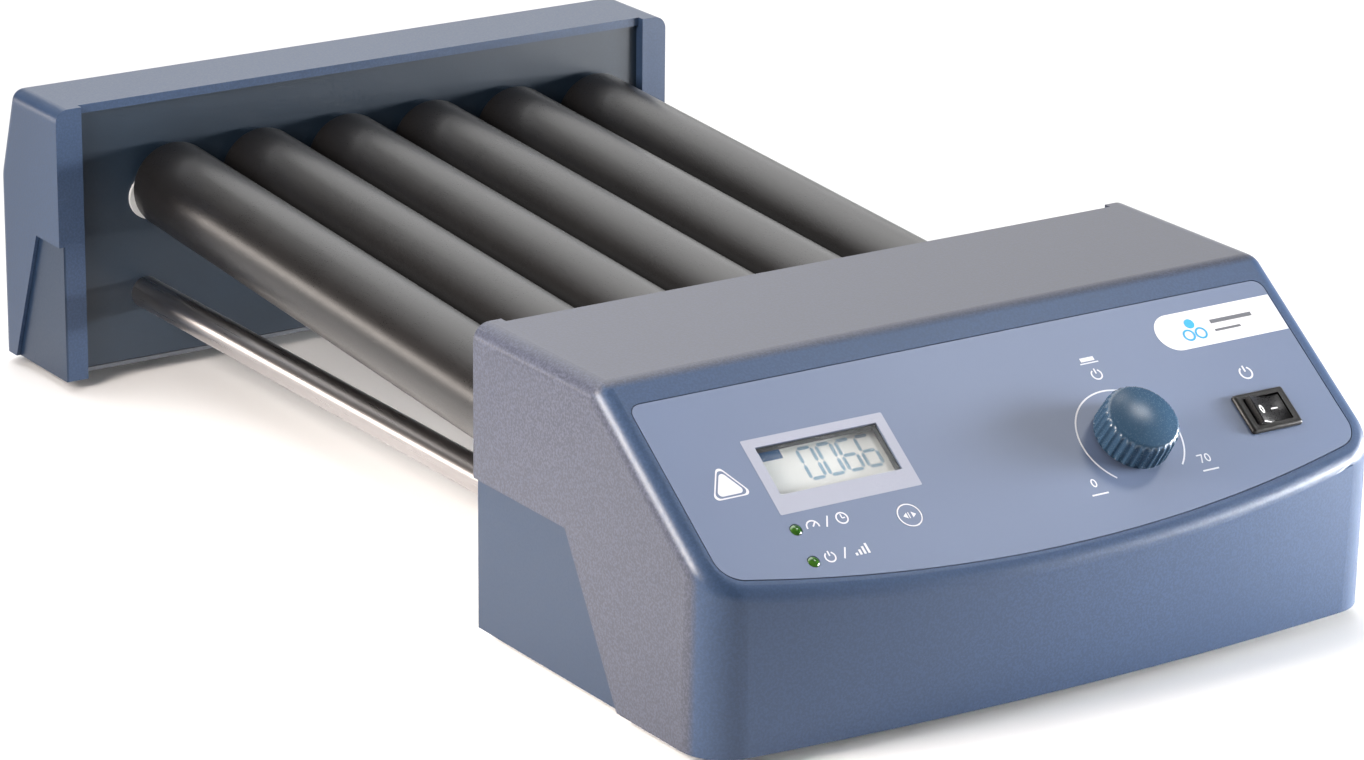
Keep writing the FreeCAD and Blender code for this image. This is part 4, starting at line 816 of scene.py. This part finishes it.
def roller_sleeve(number):
    """A rubber tube on the roller's tilted centre line, with eased ends."""
    name = "roller_%d_sleeve" % number
    low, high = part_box(name)
    tilt = math.atan(2 * ROLLER_THROW / ROLLER_LENGTH)
    along = Vector((math.sin(tilt) * math.cos(ROLLER_PHASE), math.cos(tilt),
                    math.sin(tilt) * math.sin(ROLLER_PHASE)))
    turn = along.to_track_quat("Z", "Y").to_matrix().to_4x4()
    place = Matrix.Translation((low + high) / 2) @ turn
    half = ROLLER_LENGTH / 2
    profile = [(-half + 4 * END_ROUND, ROLLER_BORE), (-half, ROLLER_BORE)]
    for side in (-1, 1):
        turns = [math.pi / 2 * step / 6 for step in range(7)]
        if side > 0:
            turns.reverse()
        for turn in turns:
            profile.append((side * (half - END_ROUND + END_ROUND * math.cos(turn)),
                            ROLLER_RADIUS - END_ROUND + END_ROUND * math.sin(turn)))
        if side < 0:
            middle_rings = 12
            for step in range(1, middle_rings):
                profile.append((-half + ROLLER_LENGTH * step / middle_rings, ROLLER_RADIUS))
    profile += [(half, ROLLER_BORE), (half - 4 * END_ROUND, ROLLER_BORE)]
    profile.append(profile[0])
    loops = []
    for z, radius in profile:
        loops.append([(radius * math.cos(TAU * index / ROLLER_SIDES),
                       radius * math.sin(TAU * index / ROLLER_SIDES), z)
                      for index in range(ROLLER_SIDES)])
    mesh = ring_mesh(name + "_rubber", loops, place, 50, False, False)
    piece = add_piece(name + "_rubber", mesh, MATERIALS["roller_rubber"], "roller_%d" % number)
    weld = bmesh.new()
    weld.from_mesh(mesh)
    bmesh.ops.remove_doubles(weld, verts=weld.verts, dist=1e-6)
    weld.to_mesh(mesh)
    weld.free()
    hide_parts(name)


# ---------------------------------------------------------------- stage

def area_light(name, place, target, size, power, tint=(1, 1, 1)):
    data = bpy.data.lights.new(name, "AREA")
    data.shape = "RECTANGLE"
    data.size = size[0]
    data.size_y = size[1]
    data.energy = power
    data.color = tint
    lamp = bpy.data.objects.new(name, data)
    bpy.context.scene.collection.objects.link(lamp)
    lamp.location = place
    lamp.rotation_mode = "QUATERNION"
    lamp.rotation_quaternion = (Vector(target) - Vector(place)).to_track_quat("-Z", "Y")
    return lamp


def floor():
    half = 6.0
    mesh = bpy.data.meshes.new("floor")
    mesh.from_pydata([(-half, -half, 0), (half, -half, 0), (half, half, 0), (-half, half, 0)], [],
                     [(0, 1, 2, 3)])
    plane = bpy.data.objects.new("floor", mesh)
    bpy.context.scene.collection.objects.link(plane)
    finish = Finish("floor_white", Roughness=0.9)
    cloud = finish.noise(1.5, 2)
    finish.set("Base Color", finish.mix(finish.spread(cloud, 0, 1), colour(0.86, 0.86, 0.865),
                                        colour(0.88, 0.88, 0.885)))
    mesh.materials.append(finish.material)


WORLD_LIGHT = 0.06
WARM = (1.0, 0.91, 0.84)


def studio():
    world = bpy.data.worlds.new("studio")
    bpy.context.scene.world = world
    world.use_nodes = True
    background = world.node_tree.nodes["Background"]
    background.inputs[0].default_value = (0.96, 0.98, 1.0, 1.0)
    background.inputs[1].default_value = WORLD_LIGHT
    area_light("overhead_box", (0.0, 1.1, 2.1), (0, 0.1, 0), (3.0, 2.2), 66)
    area_light("back_box", (0.95, 1.45, 0.65), (0, -0.1, 0.1), (1.6, 1.0), 7.5)
    area_light("left_back_box", (-0.88, 1.13, 0.12), (-0.1, 0, 0.06), (0.5, 0.2), 3, WARM)
    left_box = area_light("left_box", (-0.68, -0.08, 0.4), (-0.13, -0.09, 0.1), (0.3, 0.3), 2.6,
                          WARM)
    left_box.data.spread = math.radians(80)
    right_box = area_light("right_box", (1.0, -0.44, 0.12), (0.12, -0.24, 0.05), (0.4, 0.22), 3.2)
    right_box.data.spread = math.radians(50)
    area_light("front_right_box", (0.85, -0.68, 0.09), (0.14, -0.24, 0.05), (0.3, 0.16), 11)
    area_light("panel_box", (0.78, -0.3, 1.2), (0.0, -0.2, 0.08), (0.26, 0.26), 2.2)
    bpy.context.scene.view_settings.view_transform = "Standard"


AIM = Vector((-10.97, -34.02, 50.0)) * MM
VIEW_DISTANCE = 1.8198
VIEW_AZIMUTH = math.radians(-33.464)
VIEW_ELEVATION = math.radians(18.598)
VIEW_ROLL = math.radians(0.582)
LENS = 139.88
SENSOR = 36


def camera():
    data = bpy.data.cameras.new("camera")
    data.lens = LENS
    data.sensor_width = SENSOR
    view = bpy.data.objects.new("camera", data)
    bpy.context.scene.collection.objects.link(view)
    bpy.context.scene.camera = view
    back = Vector((math.sin(VIEW_AZIMUTH) * math.cos(VIEW_ELEVATION),
                   -math.cos(VIEW_AZIMUTH) * math.cos(VIEW_ELEVATION), math.sin(VIEW_ELEVATION)))
    turn = (-back).to_track_quat("-Z", "Y").to_matrix().to_4x4()
    view.matrix_world = (Matrix.Translation(AIM + back * VIEW_DISTANCE) @ turn
                         @ Matrix.Rotation(VIEW_ROLL, 4, "Z"))


# ---------------------------------------------------------------- put it together

dress_nodes()
printed_frame()
printed_symbols()
printed_badge()
mode_marks()
lcd()
knob()
switch_housing()
rocker()
for roller in range(1, ROLLERS + 1):
    roller_sleeve(roller)
floor()
studio()
camera()
